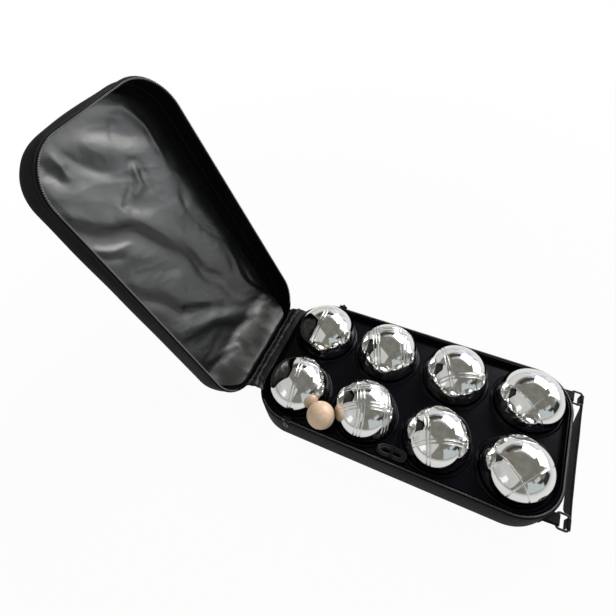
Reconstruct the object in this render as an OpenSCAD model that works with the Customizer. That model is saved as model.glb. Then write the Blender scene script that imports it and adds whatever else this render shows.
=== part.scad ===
// A set of eight steel boules with a wooden jack and a measuring cord, in a zipped case.
// Millimetres. The origin is on the ground under the middle of the case's base.
// The handle is toward +X, the hinge of the lid toward -X and the back row of boules toward +Y.

/* [Boules] */
// Diameter of a boule
boule_d = 73; // [70.5:0.5:74.5]
// Thickness of a boule's steel shell
boule_wall = 6.6; // [5:0.2:9]
// Width of the weld between the two half shells, at the surface
weld_w = 2; // [1.2:0.2:3]
// Depth of that weld
weld_depth = 2.4; // [1.6:0.2:3.2]
// Width of a groove in the surface
groove_w = 1.2; // [0.8:0.1:1.6]
// Depth of a groove in the surface
groove_depth = 0.5; // [0.3:0.1:0.8]
// Distance between the grooves of one band
groove_pitch = 3.4; // [2.6:0.2:4.2]

/* [Jack] */
// Diameter of the wooden jack
jack_d = 32; // [28:1:34]

/* [Measuring cord] */
// Diameter of the cord
cord_d = 1.6; // [1.2:0.1:1.8]
// Distance between the loops of one layer of the hank
loop_step = 3.2; // [3:0.1:3.4]
// Distance between the layers of the hank
layer_step = 2.1; // [2:0.1:2.3]
// Half length of the hank's innermost loop
loop_half_l = 11; // [9:0.5:12]
// Half width of the hank's innermost loop
loop_half_w = 3; // [2.6:0.1:3.2]
// Thickness of the band that ties the hank
tie_t = 0.8; // [0.5:0.1:1]
// Width of that band
tie_w = 5; // [3:0.5:7]

/* [Tray] */
// Thickness of the tray's plastic sheet
tray_sheet = 0.9; // [0.6:0.1:1.2]
// Height of the tray's deck above the ground
deck_h = 29; // [26:0.5:30]
// Room round a boule in its pocket
pocket_play = 1; // [0.6:0.1:1.6]
// Width of the deck between two pockets
pocket_web = 9; // [8.5:0.5:13]
// Height of the raised lip round a pocket
lip_h = 1.8; // [1:0.2:2.2]
// Radius of the lip's rounding
lip_r = 2.4; // [2.2:0.1:2.6]
// Radius of the seat that holds the jack, at its top
seat_r = 6.5; // [5.5:0.5:7]

/* [Case] */
// Distance from a boule to the outside of the case
edge_margin = 11; // [10.5:0.5:14]
// Thickness of the padded side walls
wall_t = 1.6; // [1.2:0.1:1.8]
// Thickness of the floor
floor_t = 1; // [0.8:0.1:1.4]
// Height of the base, up to the zip
base_h = 38; // [37.5:0.5:42]
// Height of the fabric strip that carries the zip, above a wall
tape_show = 5; // [4.8:0.1:6]
// Thickness of the zip's fabric strip
tape_t = 0.7; // [0.5:0.1:0.9]
// Thickness of the zip's teeth
teeth_t = 1.6; // [1.4:0.1:1.8]
// Height of one row of zip teeth
teeth_h = 1.6; // [1.4:0.1:1.8]
// Distance between the two rows of zip teeth with the lid shut
row_gap = 1.6; // [1.5:0.1:2]
// Radius of the piping along each wall
piping_r = 1.2; // [0.9:0.1:1.2]
// Thickness of the fabric hinge
hinge_t = 1.2; // [1:0.1:1.5]
// How far below the zip's middle the lid's hinge lies, on the outside of the end wall
hinge_low = 16; // [14:0.5:18]

/* [Lid] */
// Angle by which the lid stands open
lid_open_deg = 111; // [95:1:115]
// Air between the boules and the lining of the shut lid
lid_room = 1; // [0.8:0.2:4]
// Thickness of the lid's flat panel
panel_t = 1.6; // [1.2:0.2:3]
// Thickness of the lining
lining_t = 1.2; // [0.8:0.1:2]
// Height of the folds in the lining
fold_h = 2.2; // [1:0.2:4]
// How far the lid's walls lean in at the top
lid_lean = 9; // [6:0.5:12]
// Height of the rounded part of the lid's walls
lid_round = 18; // [14:1:19]

/* [Zip pulls] */
// Length of a slider
slider_l = 10; // [8:0.5:12]
// Thickness of a slider's two plates
slider_t = 0.8; // [0.6:0.1:0.9]
// Length of a pull
pull_l = 14; // [11:0.5:16]
// Width of a pull
pull_w = 5; // [4.5:0.5:7]
// Thickness of a pull
pull_t = 1.2; // [0.9:0.1:1.3]
// Radius of the pin that carries a pull
pull_pin_r = 0.6; // [0.4:0.1:0.7]

/* [Handle] */
// Thickness of a handle ring's wire, as a radius
ring_r = 1.2; // [0.9:0.1:1.4]
// Width of a handle ring between the middles of its side wires
ring_w = 16; // [15:0.5:17]
// Length of a handle ring between the middles of its end wires
ring_l = 11; // [10.5:0.5:14]
// Distance from the side of the case to the middle of a ring
ring_in = 17.5; // [15.5:0.5:18.5]
// Height of the rings above the ground
ring_z = 28; // [26:0.5:29]
// Thickness of the webbing
web_t = 1.2; // [0.8:0.1:1.4]
// Width of the webbing loops that hold the rings
tab_w = 11; // [8:0.5:11.5]
// Thickness of the handle strap
strap_t = 2.4; // [1.6:0.2:3]
// Width of the handle strap
strap_w = 22; // [16:1:24]
// Length over which the strap gathers toward each ring
strap_gather = 16; // [10:1:24]

/* [Hidden] */
$fn = 96;

// One overrun serves every cut
cut = 2;
// Gap at rest between a loose piece and its seat
seat_gap = 0.3;
// Running gap of the zip parts and the webbing
run_gap = 0.3;

// Boules: four along X and two along Y
boule_cols = 4;
boule_rows = 2;
boule_r = boule_d / 2;
boule_pitch = boule_d + 2 * pocket_play + pocket_web;
row_y = boule_pitch * (boule_rows - 1) / 2;
col_x = boule_pitch * (boule_cols - 1) / 2;
// The foot of a pocket is pressed flat on the floor, so that its sheet is thinner there
foot_share = 0.78;
pocket_z = floor_t + foot_share * tray_sheet;
boule_z = pocket_z + seat_gap + boule_r;
pocket_r = boule_r + pocket_play;
pocket_cz = pocket_z + pocket_r;

// Case outline, its corners round the corner boules
case_l = 2 * (col_x + boule_r + edge_margin);
case_w = 2 * (row_y + boule_r + edge_margin);
corner_r = boule_r + edge_margin;
half_l = case_l / 2;
half_w = case_w / 2;
wall_top = base_h - tape_show;
// The zip starts halfway round the hinge corners
zip_end_x = -(half_l - corner_r) - corner_r * sin(45);
// Insets from the outside of the case
tape_in = wall_t;
teeth_mid_in = tape_in + tape_t / 2;
teeth_in = teeth_mid_in - teeth_t / 2;
tape_lap = 3.5;
lid_tape_lap = 1;
band_t = 1.2;
// The slider's inner plate runs between the teeth and the tray's flange
slider_in_in = teeth_in + teeth_t + run_gap;
flange_in = slider_in_in + slider_t + 0.5 * tray_sheet;
flange_top = base_h - 0.6 * tray_sheet;

// Jack: it lies on the two front boules beside it and on its seat, clear of the shut lid
jack_r = jack_d / 2;
jack_x = -boule_pitch;
jack_y = -(half_w - wall_t - seat_gap - jack_r);
jack_reach = boule_r + jack_r + seat_gap;
jack_side = pow(boule_pitch / 2, 2) + pow(jack_y + row_y, 2);
jack_z = max(deck_h + seat_gap + jack_r, boule_z + sqrt(max(0, pow(jack_reach, 2) - jack_side)));
dish_r = jack_r + seat_gap;
seat_top = jack_z - sqrt(pow(dish_r, 2) - pow(seat_r, 2));
seat_draft = 1.5;

// Shut lid
mouth_z = base_h + row_gap;
axis_x = -(half_l + hinge_t);
zip_z = base_h + row_gap / 2;
axis_z = zip_z - hinge_low;
hinge_w = case_w - 2 * corner_r;
lid_wall_z = mouth_z + tape_show;
fold_low_z = max(boule_z + boule_r, jack_z + jack_r) + lid_room;
lining_z = fold_low_z + fold_h;
panel_z = lining_z + lining_t;
lid_top_z = panel_z + panel_t;
lean_z = lid_top_z - lid_round;
lean_steps = 6;
corner_fn = 32;
weld_fn = 240;
hinge_drop = 15;
hinge_rise = 9;

// Sliders stand at the start of the straight run
slider_x = -(half_l - corner_r) + slider_l / 2;
slider_low = wall_top + 2 * piping_r + run_gap;
slider_top = mouth_z + teeth_h + 0.6 * run_gap;
bridge_l = 4;
bridge_t = row_gap - 2 * 0.8 * run_gap;
pin_out = piping_r + pull_t / 2 + 0.1;
eye_gap = 0.3;
eye_t = 1.4;
eye_wall = 1;
lug_t = 0.8;
lug_gap = 0.3;
pull_wire = 1.2;

// Handle
ring_y = half_w - ring_in;
handle_x = half_l - corner_r + sqrt(pow(corner_r, 2) - pow(ring_y - ring_w / 2 - ring_r - row_y, 2))
  + ring_r + web_t + run_gap;
strap_x = handle_x + ring_l;
sleeve_r = ring_r + run_gap + web_t;
patch_h = 14;
ring_corner_r = 3;
strap_over = 1;

// Hank of the measuring cord, lying on the pocket lips between two front boules
cord_r = cord_d / 2;
hank_layers = 4;
hank_turns = 1.5;
waist_share = 0.25;
hank_x = 2;
hank_out = loop_half_w + hank_turns * loop_step + cord_r;
hank_y = -(half_w - flange_in - tray_sheet - seat_gap - hank_out);
hank_z = deck_h + lip_h + seat_gap;
ring_count = 24;
cord_sides = 6;
waist_half = (loop_half_w + hank_turns * loop_step) * (1 - waist_share) + cord_r;

// Groove bands of each boule: azimuth and tilt of the first axis in degrees, grooves in a band,
// offsets of its bands and of the second axis' bands as shares of the radius
band_shares = [
  [9, -9, 2, [-0.1], []],
  [21, -12, 3, [-0.32, 0.5], [0.24, -0.38]],
  [20, 3, 2, [-0.34], [0.42]],
  [51, 4, 1, [-0.42], [0.46]],
  [1, -17, 2, [-0.35], []],
  [21, 4, 3, [-0.36, 0.5], [-0.4]],
  [27, 4, 2, [-0.32], [0.46]],
  [54, 7, 1, [-0.42], [0.34]]];

// Folds of the lining: place along and across as shares of the half sizes, direction in degrees,
// half length and half width as shares of the half width, height as a share of fold_h
fold_shares = [
  [-0.55, 0.15, 62, 0.85, 0.16, 1],
  [-0.3, -0.3, 38, 0.75, 0.14, 0.8],
  [0.02, 0.2, 118, 0.8, 0.15, 0.95],
  [0.18, -0.25, 70, 0.9, 0.17, 0.75],
  [0.45, 0.25, 35, 0.7, 0.14, 0.9],
  [0.62, -0.35, 105, 0.7, 0.15, 0.8],
  [0.85, 0.1, 75, 0.6, 0.13, 0.7],
  [-0.85, -0.2, 95, 0.8, 0.14, 0.9]];

function lean(z) =
  z <= lean_z ? 0 : lid_lean * (1 - sqrt(max(0, 1 - pow((z - lean_z) / lid_round, 2))));

// Flat rounded outline of the case, drawn in by an inset
module outline(inset = 0) {
  l = case_l - 2 * inset;
  w = case_w - 2 * inset;
  r = corner_r - inset;
  square([l - 2 * r, w], center = true);
  square([l, w - 2 * r], center = true);
  for (sx = [-1, 1], sy = [-1, 1])
    translate([sx * (l / 2 - r), sy * (w / 2 - r)])
      circle(r);
}

// Band that follows the outline, from one inset to a deeper one
module band(inset, t, z, h) {
  translate([0, 0, z])
    difference() {
      linear_extrude(h)
        outline(inset);
      translate([0, 0, -cut])
        linear_extrude(h + 2 * cut)
          outline(inset + t);
    }
}

// Everything on the handle side of where the zip starts, or on the hinge side of it
module zip_side() {
  translate([zip_end_x, -case_w, -case_w])
    cube([2 * case_l, 2 * case_w, 4 * case_w]);
}
module hinge_side() {
  translate([zip_end_x - 2 * case_l, -case_w, -case_w])
    cube([2 * case_l, 2 * case_w, 4 * case_w]);
}

// Round cord that follows the outline, its middle at an inset
module outline_cord(inset, r, z) {
  l = case_l - 2 * inset;
  w = case_w - 2 * inset;
  cr = corner_r - inset;
  for (sx = [-1, 1], sy = [-1, 1])
    translate([sx * (l / 2 - cr), sy * (w / 2 - cr), z])
      rotate([0, 0, sy > 0 ? (sx > 0 ? 0 : 90) : (sx > 0 ? 270 : 180)])
        rotate_extrude(angle = 90)
          translate([cr, 0])
            circle(r, $fn = 24);
  for (sy = [-1, 1])
    translate([-(l / 2 - cr), sy * w / 2, z])
      rotate([0, 90, 0])
        cylinder(r = r, h = l - 2 * cr, $fn = 24);
  for (sx = [-1, 1])
    translate([sx * l / 2, w / 2 - cr, z])
      rotate([90, 0, 0])
        cylinder(r = r, h = w - 2 * cr, $fn = 24);
}

// Places the pieces of the shut lid where the open lid has them
module open_lid() {
  translate([axis_x, 0, axis_z])
    rotate([0, -lid_open_deg, 0])
      translate([-axis_x, 0, -axis_z])
        children();
}

// ---- Base of the case

module case_floor() {
  color([0.05, 0.05, 0.06])
    linear_extrude(floor_t)
      outline(wall_t);
}

module base_wall() {
  color([0.04, 0.04, 0.045])
    band(0, wall_t, 0, wall_top);
}

// The piping stops where the hinge strip is sewn on
module base_piping() {
  color([0.06, 0.06, 0.065])
    difference() {
      outline_cord(wall_t - piping_r, piping_r, wall_top + piping_r);
      translate([-half_l - cut, -hinge_w / 2, wall_top - cut])
        cube([corner_r, hinge_w, 2 * (piping_r + cut)]);
    }
}

module base_zip_tape() {
  color([0.05, 0.05, 0.055])
    intersection() {
      band(tape_in, tape_t, wall_top - tape_lap, base_h - teeth_h - wall_top + tape_lap);
      zip_side();
    }
}

module base_zip_teeth() {
  color([0.09, 0.09, 0.1])
    intersection() {
      band(teeth_in, teeth_t, base_h - teeth_h, teeth_h);
      zip_side();
    }
}

// Fabric that closes the base above the wall on the hinge side
module hinge_band() {
  color([0.045, 0.045, 0.05])
    intersection() {
      band(tape_in, band_t, wall_top - tape_lap, base_h - wall_top + tape_lap);
      hinge_side();
    }
}

// Strip with a rolled edge, about which the lid turns
module hinge_strip() {
  color([0.045, 0.045, 0.05]) {
    translate([-half_l - hinge_t, -hinge_w / 2, axis_z - hinge_drop])
      cube([hinge_t, hinge_w, hinge_drop]);
    translate([axis_x, hinge_w / 2, axis_z])
      rotate([90, 0, 0])
        cylinder(r = hinge_t, h = hinge_w, $fn = 32);
  }
}

module at_boules() {
  for (i = [0 : boule_cols - 1], j = [0 : boule_rows - 1])
    translate([i * boule_pitch - col_x, j * boule_pitch - row_y, 0])
      children();
}

// Formed sheet: a deck with eight pockets, a lip round each, a flange and the seat of the jack
module tray() {
  lip_z = deck_h + lip_h - lip_r;
  lip_mid = sqrt(pow(pocket_r, 2) - pow(pocket_cz - deck_h, 2)) + lip_r;
  color([0.03, 0.03, 0.05])
    difference() {
      union() {
        translate([0, 0, deck_h - tray_sheet])
          linear_extrude(tray_sheet)
            outline(flange_in);
        band(flange_in, tray_sheet, deck_h - tray_sheet, flange_top - deck_h + tray_sheet);
        at_boules() {
          intersection() {
            translate([0, 0, pocket_cz])
              sphere(pocket_r + tray_sheet);
            translate([0, 0, floor_t])
              cylinder(r = 2 * pocket_r, h = deck_h - floor_t);
          }
          intersection() {
            translate([0, 0, lip_z])
              rotate_extrude()
                translate([lip_mid, 0])
                  circle(lip_r, $fn = 32);
            translate([0, 0, deck_h - tray_sheet])
              cylinder(r = 2 * pocket_r, h = lip_h + 2 * tray_sheet);
          }
        }
        translate([jack_x, jack_y, deck_h - tray_sheet])
          cylinder(r1 = seat_r + seat_draft, r2 = seat_r, h = seat_top - deck_h + tray_sheet);
      }
      at_boules()
        translate([0, 0, pocket_cz])
          sphere(pocket_r);
      translate([jack_x, jack_y, jack_z])
        sphere(dish_r);
      translate([jack_x, jack_y, deck_h - tray_sheet - cut])
        cylinder(r = seat_r - tray_sheet, h = cut + max(0, jack_z - dish_r - deck_h));
    }
}

// Webbing loop sewn on a corner, holding a handle ring
module tab(side) {
  color([0.05, 0.05, 0.055])
    difference() {
      union() {
        intersection() {
          band(-web_t, web_t, ring_z - patch_h, patch_h);
          translate([0, side * ring_y - tab_w / 2, 0])
            cube([case_l, tab_w, case_w]);
        }
        translate([half_l - corner_r, side * ring_y - tab_w / 2, ring_z - web_t - ring_r - run_gap])
          cube([handle_x - half_l + corner_r, tab_w, 2 * sleeve_r]);
        translate([handle_x, side * ring_y + tab_w / 2, ring_z])
          rotate([90, 0, 0])
            cylinder(r = sleeve_r, h = tab_w, $fn = 48);
      }
      linear_extrude(2 * base_h)
        outline(0);
      translate([handle_x, side * ring_y + tab_w / 2 + cut, ring_z])
        rotate([90, 0, 0])
          cylinder(r = ring_r + run_gap, h = tab_w + 2 * cut, $fn = 48);
    }
}

// ---- Lid, modelled shut

module lid_level(z, inset, grow) {
  l = case_l - 2 * inset;
  w = case_w - 2 * inset;
  r = corner_r - inset;
  for (sx = [-1, 1], sy = [-1, 1])
    translate([sx * (l / 2 - r), sy * (w / 2 - r), z])
      cylinder(r = r * grow, h = seat_gap / 10, $fn = corner_fn);
}

// The wall stands straight and then rounds over toward the panel. The hollow's flat facets
// touch its true corners from outside, so that what follows those corners stays clear of them
module lid_block(low_z, high_z, t) {
  grow = t > 0 ? 1 / cos(180 / corner_fn) : 1;
  hull() {
    lid_level(low_z, t, grow);
    for (i = [0 : lean_steps]) {
      z = lean_z + (high_z - lean_z) * sin(90 * i / lean_steps);
      lid_level(z, lean(z) + t, grow);
    }
  }
}

module lid_wall() {
  color([0.04, 0.04, 0.045])
    open_lid()
      intersection() {
        difference() {
          lid_block(lid_wall_z, lid_top_z, 0);
          lid_block(lid_wall_z - cut, lid_top_z, wall_t);
        }
        translate([-case_l, -case_w, lid_wall_z])
          cube([2 * case_l, 2 * case_w, panel_z - lid_wall_z]);
      }
}

module lid_panel() {
  color([0.045, 0.045, 0.05])
    open_lid()
      translate([0, 0, panel_z])
        linear_extrude(panel_t)
          outline(lean(panel_z));
}

function fold_at(x, y, f) =
  let (
    dx = x - f[0] * half_l,
    dy = y - f[1] * half_w,
    u = (dx * cos(f[2]) + dy * sin(f[2])) / (f[3] * half_w),
    v = (dy * cos(f[2]) - dx * sin(f[2])) / (f[4] * half_w))
  f[5] * exp(-u * u - v * v);

function fold_sum(x, y, i = 0) =
  i == len(fold_shares) ? 0 : fold_at(x, y, fold_shares[i]) + fold_sum(x, y, i + 1);

// Keeps crossing folds from adding up beyond one fold
function soft_top(v) = v / sqrt(1 + v * v * v * v);

// Sheet of the lining: flat against the panel, its other face in soft folds
module lid_lining() {
  nx = 34;
  ny = 17;
  inset = lean(panel_z) + wall_t + run_gap;
  hx = half_l - inset;
  hy = half_w - inset;
  r = corner_r - inset;
  // Half width of the sheet at a place along it
  function half_at(x) =
    abs(x) <= hx - r ? hy : hy - r + sqrt(max(0, r * r - pow(abs(x) - hx + r, 2)));
  xs = [for (i = [0 : nx]) let (s = 2 * i / nx - 1) hx * sin(90 * s) * 0.5 + hx * s * 0.5];
  grid = [for (i = [0 : nx]) for (j = [0 : ny])
    let (
      x = xs[i],
      y = half_at(x) * (2 * j / ny - 1),
      rim = min(1, 6 * min(1 - abs(2 * i / nx - 1), 1 - abs(2 * j / ny - 1))))
    [x, y, lining_z - fold_h * rim * soft_top(fold_sum(x, y))]];
  flat = [for (p = grid) [p[0], p[1], panel_z]];
  m = ny + 1;
  all = (nx + 1) * m;
  loop = concat(
    [for (i = [0 : nx]) i * m],
    [for (j = [1 : ny]) nx * m + j],
    [for (i = [nx - 1 : -1 : 0]) i * m + ny],
    [for (j = [ny - 1 : -1 : 1]) j]);
  faces = concat(
    [for (i = [0 : nx - 1]) for (j = [0 : ny - 1]) [i * m + j, (i + 1) * m + j, i * m + j + 1]],
    [for (i = [0 : nx - 1]) for (j = [0 : ny - 1]) [(i + 1) * m + j, (i + 1) * m + j + 1, i * m + j + 1]],
    [for (k = [0 : len(loop) - 1]) let (a = loop[k], b = loop[(k + 1) % len(loop)]) [a, a + all, b + all, b]],
    [for (k = [0 : len(loop) - 1]) [loop[(k + 1) % len(loop)] + all, loop[k] + all, 2 * all]]);
  color([0.2, 0.2, 0.21])
    open_lid()
      polyhedron(concat(grid, flat, [[0, 0, panel_z]]), faces);
}

module lid_piping() {
  color([0.06, 0.06, 0.065])
    open_lid()
      difference() {
        outline_cord(wall_t - piping_r, piping_r, lid_wall_z - piping_r);
        translate([-half_l - cut, -hinge_w / 2, mouth_z])
          cube([corner_r, hinge_w, tape_show + cut]);
      }
}

module lid_zip_tape() {
  color([0.05, 0.05, 0.055])
    open_lid()
      intersection() {
        band(tape_in, tape_t, mouth_z + teeth_h, tape_show - teeth_h + lid_tape_lap);
        zip_side();
      }
}

module lid_zip_teeth() {
  color([0.09, 0.09, 0.1])
    open_lid()
      intersection() {
        band(teeth_in, teeth_t, mouth_z, teeth_h);
        zip_side();
      }
}

module lid_hinge_band() {
  color([0.045, 0.045, 0.05])
    open_lid()
      intersection() {
        band(tape_in, band_t, mouth_z, tape_show + lid_tape_lap);
        hinge_side();
      }
}

// Strip from the rolled edge up to the lid's wall, clear of the base's wall with the lid shut
module lid_hinge_strip() {
  low = axis_z + hinge_t + run_gap;
  color([0.045, 0.045, 0.05])
    open_lid()
      translate([-half_l - hinge_t, -hinge_w / 2, 0])
        union() {
          translate([0, 0, low])
            cube([hinge_t - run_gap, hinge_w, lid_wall_z + hinge_rise - low]);
          translate([0, 0, lid_wall_z])
            cube([hinge_t, hinge_w, hinge_rise]);
        }
}

// ---- Zip sliders and pulls

// Slider of the front run: two plates and a bridge between them, and two lugs with a pin
module slider(side) {
  out_y = half_w - teeth_in + run_gap;
  in_y = half_w - slider_in_in;
  pin_y = half_w + pin_out;
  lug_r = pull_pin_r + 0.8 * slider_t;
  color([0.12, 0.12, 0.13])
    mirror([0, side > 0 ? 0 : 1, 0])
      translate([slider_x, 0, 0])
        union() {
          translate([-slider_l / 2, out_y, slider_low])
            cube([slider_l, slider_t, slider_top - slider_low]);
          translate([-slider_l / 2, in_y - slider_t, slider_low])
            cube([slider_l, slider_t, slider_top - slider_low]);
          translate([-bridge_l / 2, in_y - slider_t, zip_z - bridge_t / 2])
            cube([bridge_l, out_y - in_y + 2 * slider_t, bridge_t]);
          for (sx = [-1, 1])
            translate([sx * (eye_t / 2 + lug_gap + lug_t / 2), 0, zip_z]) {
              translate([-lug_t / 2, out_y, -lug_r])
                cube([lug_t, pin_y - out_y, 2 * lug_r]);
              translate([-lug_t / 2, pin_y, 0])
                rotate([0, 90, 0])
                  cylinder(r = lug_r, h = lug_t, $fn = 32);
            }
          translate([-(eye_t / 2 + lug_gap + lug_t), pin_y, zip_z])
            rotate([0, 90, 0])
              cylinder(r = pull_pin_r, h = eye_t + 2 * (lug_gap + lug_t), $fn = 32);
        }
}

// Pull: an eye round the slider's pin and a long loop that hangs from it
module pull(side) {
  pin_y = half_w + pin_out;
  eye_in = pull_pin_r + eye_gap;
  eye_out = eye_in + eye_wall;
  loop_top = -eye_in - 0.5 * eye_wall;
  loop_low = -pull_l + eye_out;
  color([0.3, 0.3, 0.31])
    mirror([0, side > 0 ? 0 : 1, 0])
      translate([slider_x, pin_y, zip_z])
        difference() {
          union() {
            translate([-eye_t / 2, 0, 0])
              rotate([0, 90, 0])
                cylinder(r = eye_out, h = eye_t, $fn = 32);
            translate([0, pull_t / 2, 0])
              rotate([90, 0, 0])
                linear_extrude(pull_t)
                  difference() {
                    union() {
                      translate([0, loop_low + pull_w / 2])
                        circle(pull_w / 2, $fn = 32);
                      translate([-pull_w / 2, loop_low + pull_w / 2])
                        square([pull_w, -eye_out - loop_low - pull_w / 2]);
                      translate([-eye_t / 2, -eye_out - pull_wire])
                        square([eye_t, pull_wire + eye_out - eye_in - 0.5 * eye_wall]);
                    }
                    translate([0, loop_low + pull_w / 2])
                      circle(pull_w / 2 - pull_wire, $fn = 32);
                    translate([pull_wire - pull_w / 2, loop_low + pull_w / 2])
                      square([pull_w - 2 * pull_wire, -eye_out - loop_low - pull_w / 2 - pull_wire]);
                  }
          }
          translate([-eye_t, 0, 0])
            rotate([0, 90, 0])
              cylinder(r = eye_in, h = 2 * eye_t, $fn = 32);
        }
}

// ---- Handle

// Rectangular ring of round wire, its inner wire in the tab and its outer wire in the strap
module ring(side) {
  l = ring_l;
  w = ring_w;
  r = ring_corner_r;
  color([0.07, 0.07, 0.075])
    translate([handle_x, side * ring_y - w / 2, ring_z])
      union() {
        for (p = [[0, 0], [0, 1], [1, 0], [1, 1]])
          translate([p[0] == 0 ? r : l - r, p[1] == 0 ? r : w - r, 0])
            rotate([0, 0, p[0] == 0 ? (p[1] == 0 ? 180 : 90) : (p[1] == 0 ? 270 : 0)])
              rotate_extrude(angle = 90)
                translate([r, 0])
                  circle(ring_r, $fn = 24);
        for (x = [0, l])
          translate([x, w - r, 0])
            rotate([90, 0, 0])
              cylinder(r = ring_r, h = w - 2 * r, $fn = 24);
        for (y = [0, w])
          translate([r, y, 0])
            rotate([0, 90, 0])
              cylinder(r = ring_r, h = l - 2 * r, $fn = 24);
      }
}

// Strap of doubled webbing, with a sewn sleeve at each end round the ring's outer wire
module handle_strap() {
  sleeve_w = ring_w - 2 * ring_corner_r;
  inner = ring_y - sleeve_w / 2;
  outer = ring_y + sleeve_w / 2;
  top = ring_z - sleeve_r;
  full = inner - strap_gather;
  neck = ring_z - 2 * sleeve_r;
  color([0.05, 0.05, 0.055])
    difference() {
      union() {
        translate([strap_x - strap_t / 2, 0, 0])
          rotate([90, 0, 90])
            linear_extrude(strap_t)
              polygon([[-outer, ring_z], [-outer, neck], [-inner, neck], [-full, ring_z - strap_w],
                [full, ring_z - strap_w], [inner, neck], [outer, neck], [outer, ring_z],
                [inner, ring_z], [inner, top], [-inner, top], [-inner, ring_z]]);
        for (side = [-1, 1])
          translate([strap_x, side * ring_y + sleeve_w / 2, ring_z])
            rotate([90, 0, 0])
              cylinder(r = sleeve_r, h = sleeve_w, $fn = 48);
      }
      for (side = [-1, 1]) {
        translate([strap_x, side * ring_y + sleeve_w / 2 + cut, ring_z])
          rotate([90, 0, 0])
            cylinder(r = ring_r + run_gap, h = sleeve_w + 2 * cut, $fn = 48);
      }
    }
}

// ---- Boules

// Ring-shaped cutter of one groove, square to its axis and at an offset along it
module groove(offset) {
  difference() {
    translate([0, 0, offset - groove_w / 2])
      cylinder(r = boule_r + cut, h = groove_w);
    translate([0, 0, offset - groove_w])
      cylinder(r = sqrt(pow(boule_r - groove_depth, 2) - pow(offset, 2)), h = 2 * groove_w);
  }
}

module groove_bands(offset_shares, count) {
  for (share = offset_shares, k = [0 : count - 1])
    groove(share * boule_r + (k - (count - 1) / 2) * groove_pitch);
}

// All the grooves of one boule, on two axes square to each other
module grooves(n) {
  b = band_shares[n - 1];
  rotate([0, 0, b[0]])
    rotate([0, 90 - b[1], 0])
      groove_bands(b[3], b[2]);
  rotate([0, 0, b[0]])
    rotate([90, 0, 0])
      groove_bands(b[4], b[2]);
}

// Wedge-shaped ring that the weld fills
module weld_wedge() {
  half = weld_w / 2 * (weld_depth + cut) / weld_depth;
  rotate_extrude($fn = weld_fn)
    polygon([[boule_r - weld_depth, 0], [boule_r + cut, -half], [boule_r + cut, half]]);
}

module at_boule(n) {
  i = (n - 1) % boule_cols;
  j = floor((n - 1) / boule_cols);
  translate([i * boule_pitch - col_x, j * boule_pitch - row_y, boule_z])
    children();
}

module boule_half(n, side) {
  color([0.72, 0.73, 0.74])
    at_boule(n)
      difference() {
        intersection() {
          sphere(boule_r);
          translate([-boule_d, -boule_d, side > 0 ? 0 : -boule_d])
            cube([2 * boule_d, 2 * boule_d, boule_d]);
        }
        sphere(boule_r - boule_wall);
        weld_wedge();
        grooves(n);
      }
}

module boule_weld(n) {
  color([0.66, 0.67, 0.68])
    at_boule(n)
      difference() {
        intersection() {
          weld_wedge();
          sphere(boule_r, $fn = weld_fn);
        }
        grooves(n);
      }
}

// ---- Jack and measuring cord

module jack() {
  color([0.87, 0.69, 0.52])
    translate([jack_x, jack_y, jack_z])
      sphere(jack_r);
}

// The hank's loops spiral in and out; t counts turns, and each layer ends in half a turn of climb
layer_turns = hank_turns + 0.5;
hank_span = hank_layers * layer_turns - 0.5;
function layer_of(t) = min(hank_layers - 1, floor(t / layer_turns));
function spread(t) =
  let (k = layer_of(t), s = min(hank_turns, t - k * layer_turns))
  k % 2 == 0 ? s : hank_turns - s;
function climb(t) =
  let (k = layer_of(t), s = max(0, t - k * layer_turns - hank_turns))
  k == hank_layers - 1 ? k : k + 2 * s;
function cord_point(t) =
  let (
    a = 360 * t,
    l = loop_half_l + loop_step * spread(t),
    w = loop_half_w + loop_step * spread(t),
    e = cos(a),
    x = l * e,
    pinch = 1 - waist_share * (1 - e * e) * (1 - e * e),
    y = w * pinch * (abs(sin(a)) < 0.001 ? 0 : sign(sin(a)) * pow(abs(sin(a)), 0.7)))
  [x, y, cord_r + layer_step * climb(t)];

cord_rings = hank_span * ring_count;
cord_path = [for (i = [0 : cord_rings]) cord_point(i / ring_count)];

function unit(v) = v / norm(v);
function path_dir(i) =
  i == 0 ? unit(cord_path[1] - cord_path[0])
  : i == cord_rings ? unit(cord_path[i] - cord_path[i - 1])
  : unit(unit(cord_path[i + 1] - cord_path[i]) + unit(cord_path[i] - cord_path[i - 1]));

// Least distance between points of the cord's middle line that aren't neighbours along it
function least(v) = min(v);
hank_gap = least([for (i = [0 : cord_rings]) for (j = [i + ring_count / 2 : cord_rings])
  norm(cord_path[i] - cord_path[j])]) - cord_d;

module measuring_cord() {
  echo(least_gap_of_the_cord_to_itself = hank_gap);
  points = [for (i = [0 : cord_rings])
    let (
      d = path_dir(i),
      side = unit(cross([0, 0, 1], d)),
      up = cross(d, side))
    for (k = [0 : cord_sides - 1])
      cord_path[i] + cord_r * (cos(360 * k / cord_sides) * side + sin(360 * k / cord_sides) * up)];
  skin = [for (i = [0 : cord_rings - 1]) for (k = [0 : cord_sides - 1])
    let (n = (k + 1) % cord_sides)
    [i * cord_sides + k, i * cord_sides + n, (i + 1) * cord_sides + n, (i + 1) * cord_sides + k]];
  ends = [[for (k = [0 : cord_sides - 1]) cord_sides - 1 - k],
    [for (k = [0 : cord_sides - 1]) cord_rings * cord_sides + k]];
  color([0.1, 0.1, 0.11])
    translate([hank_x, hank_y, hank_z])
      polyhedron(concat(points), concat(skin, ends));
}

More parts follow.
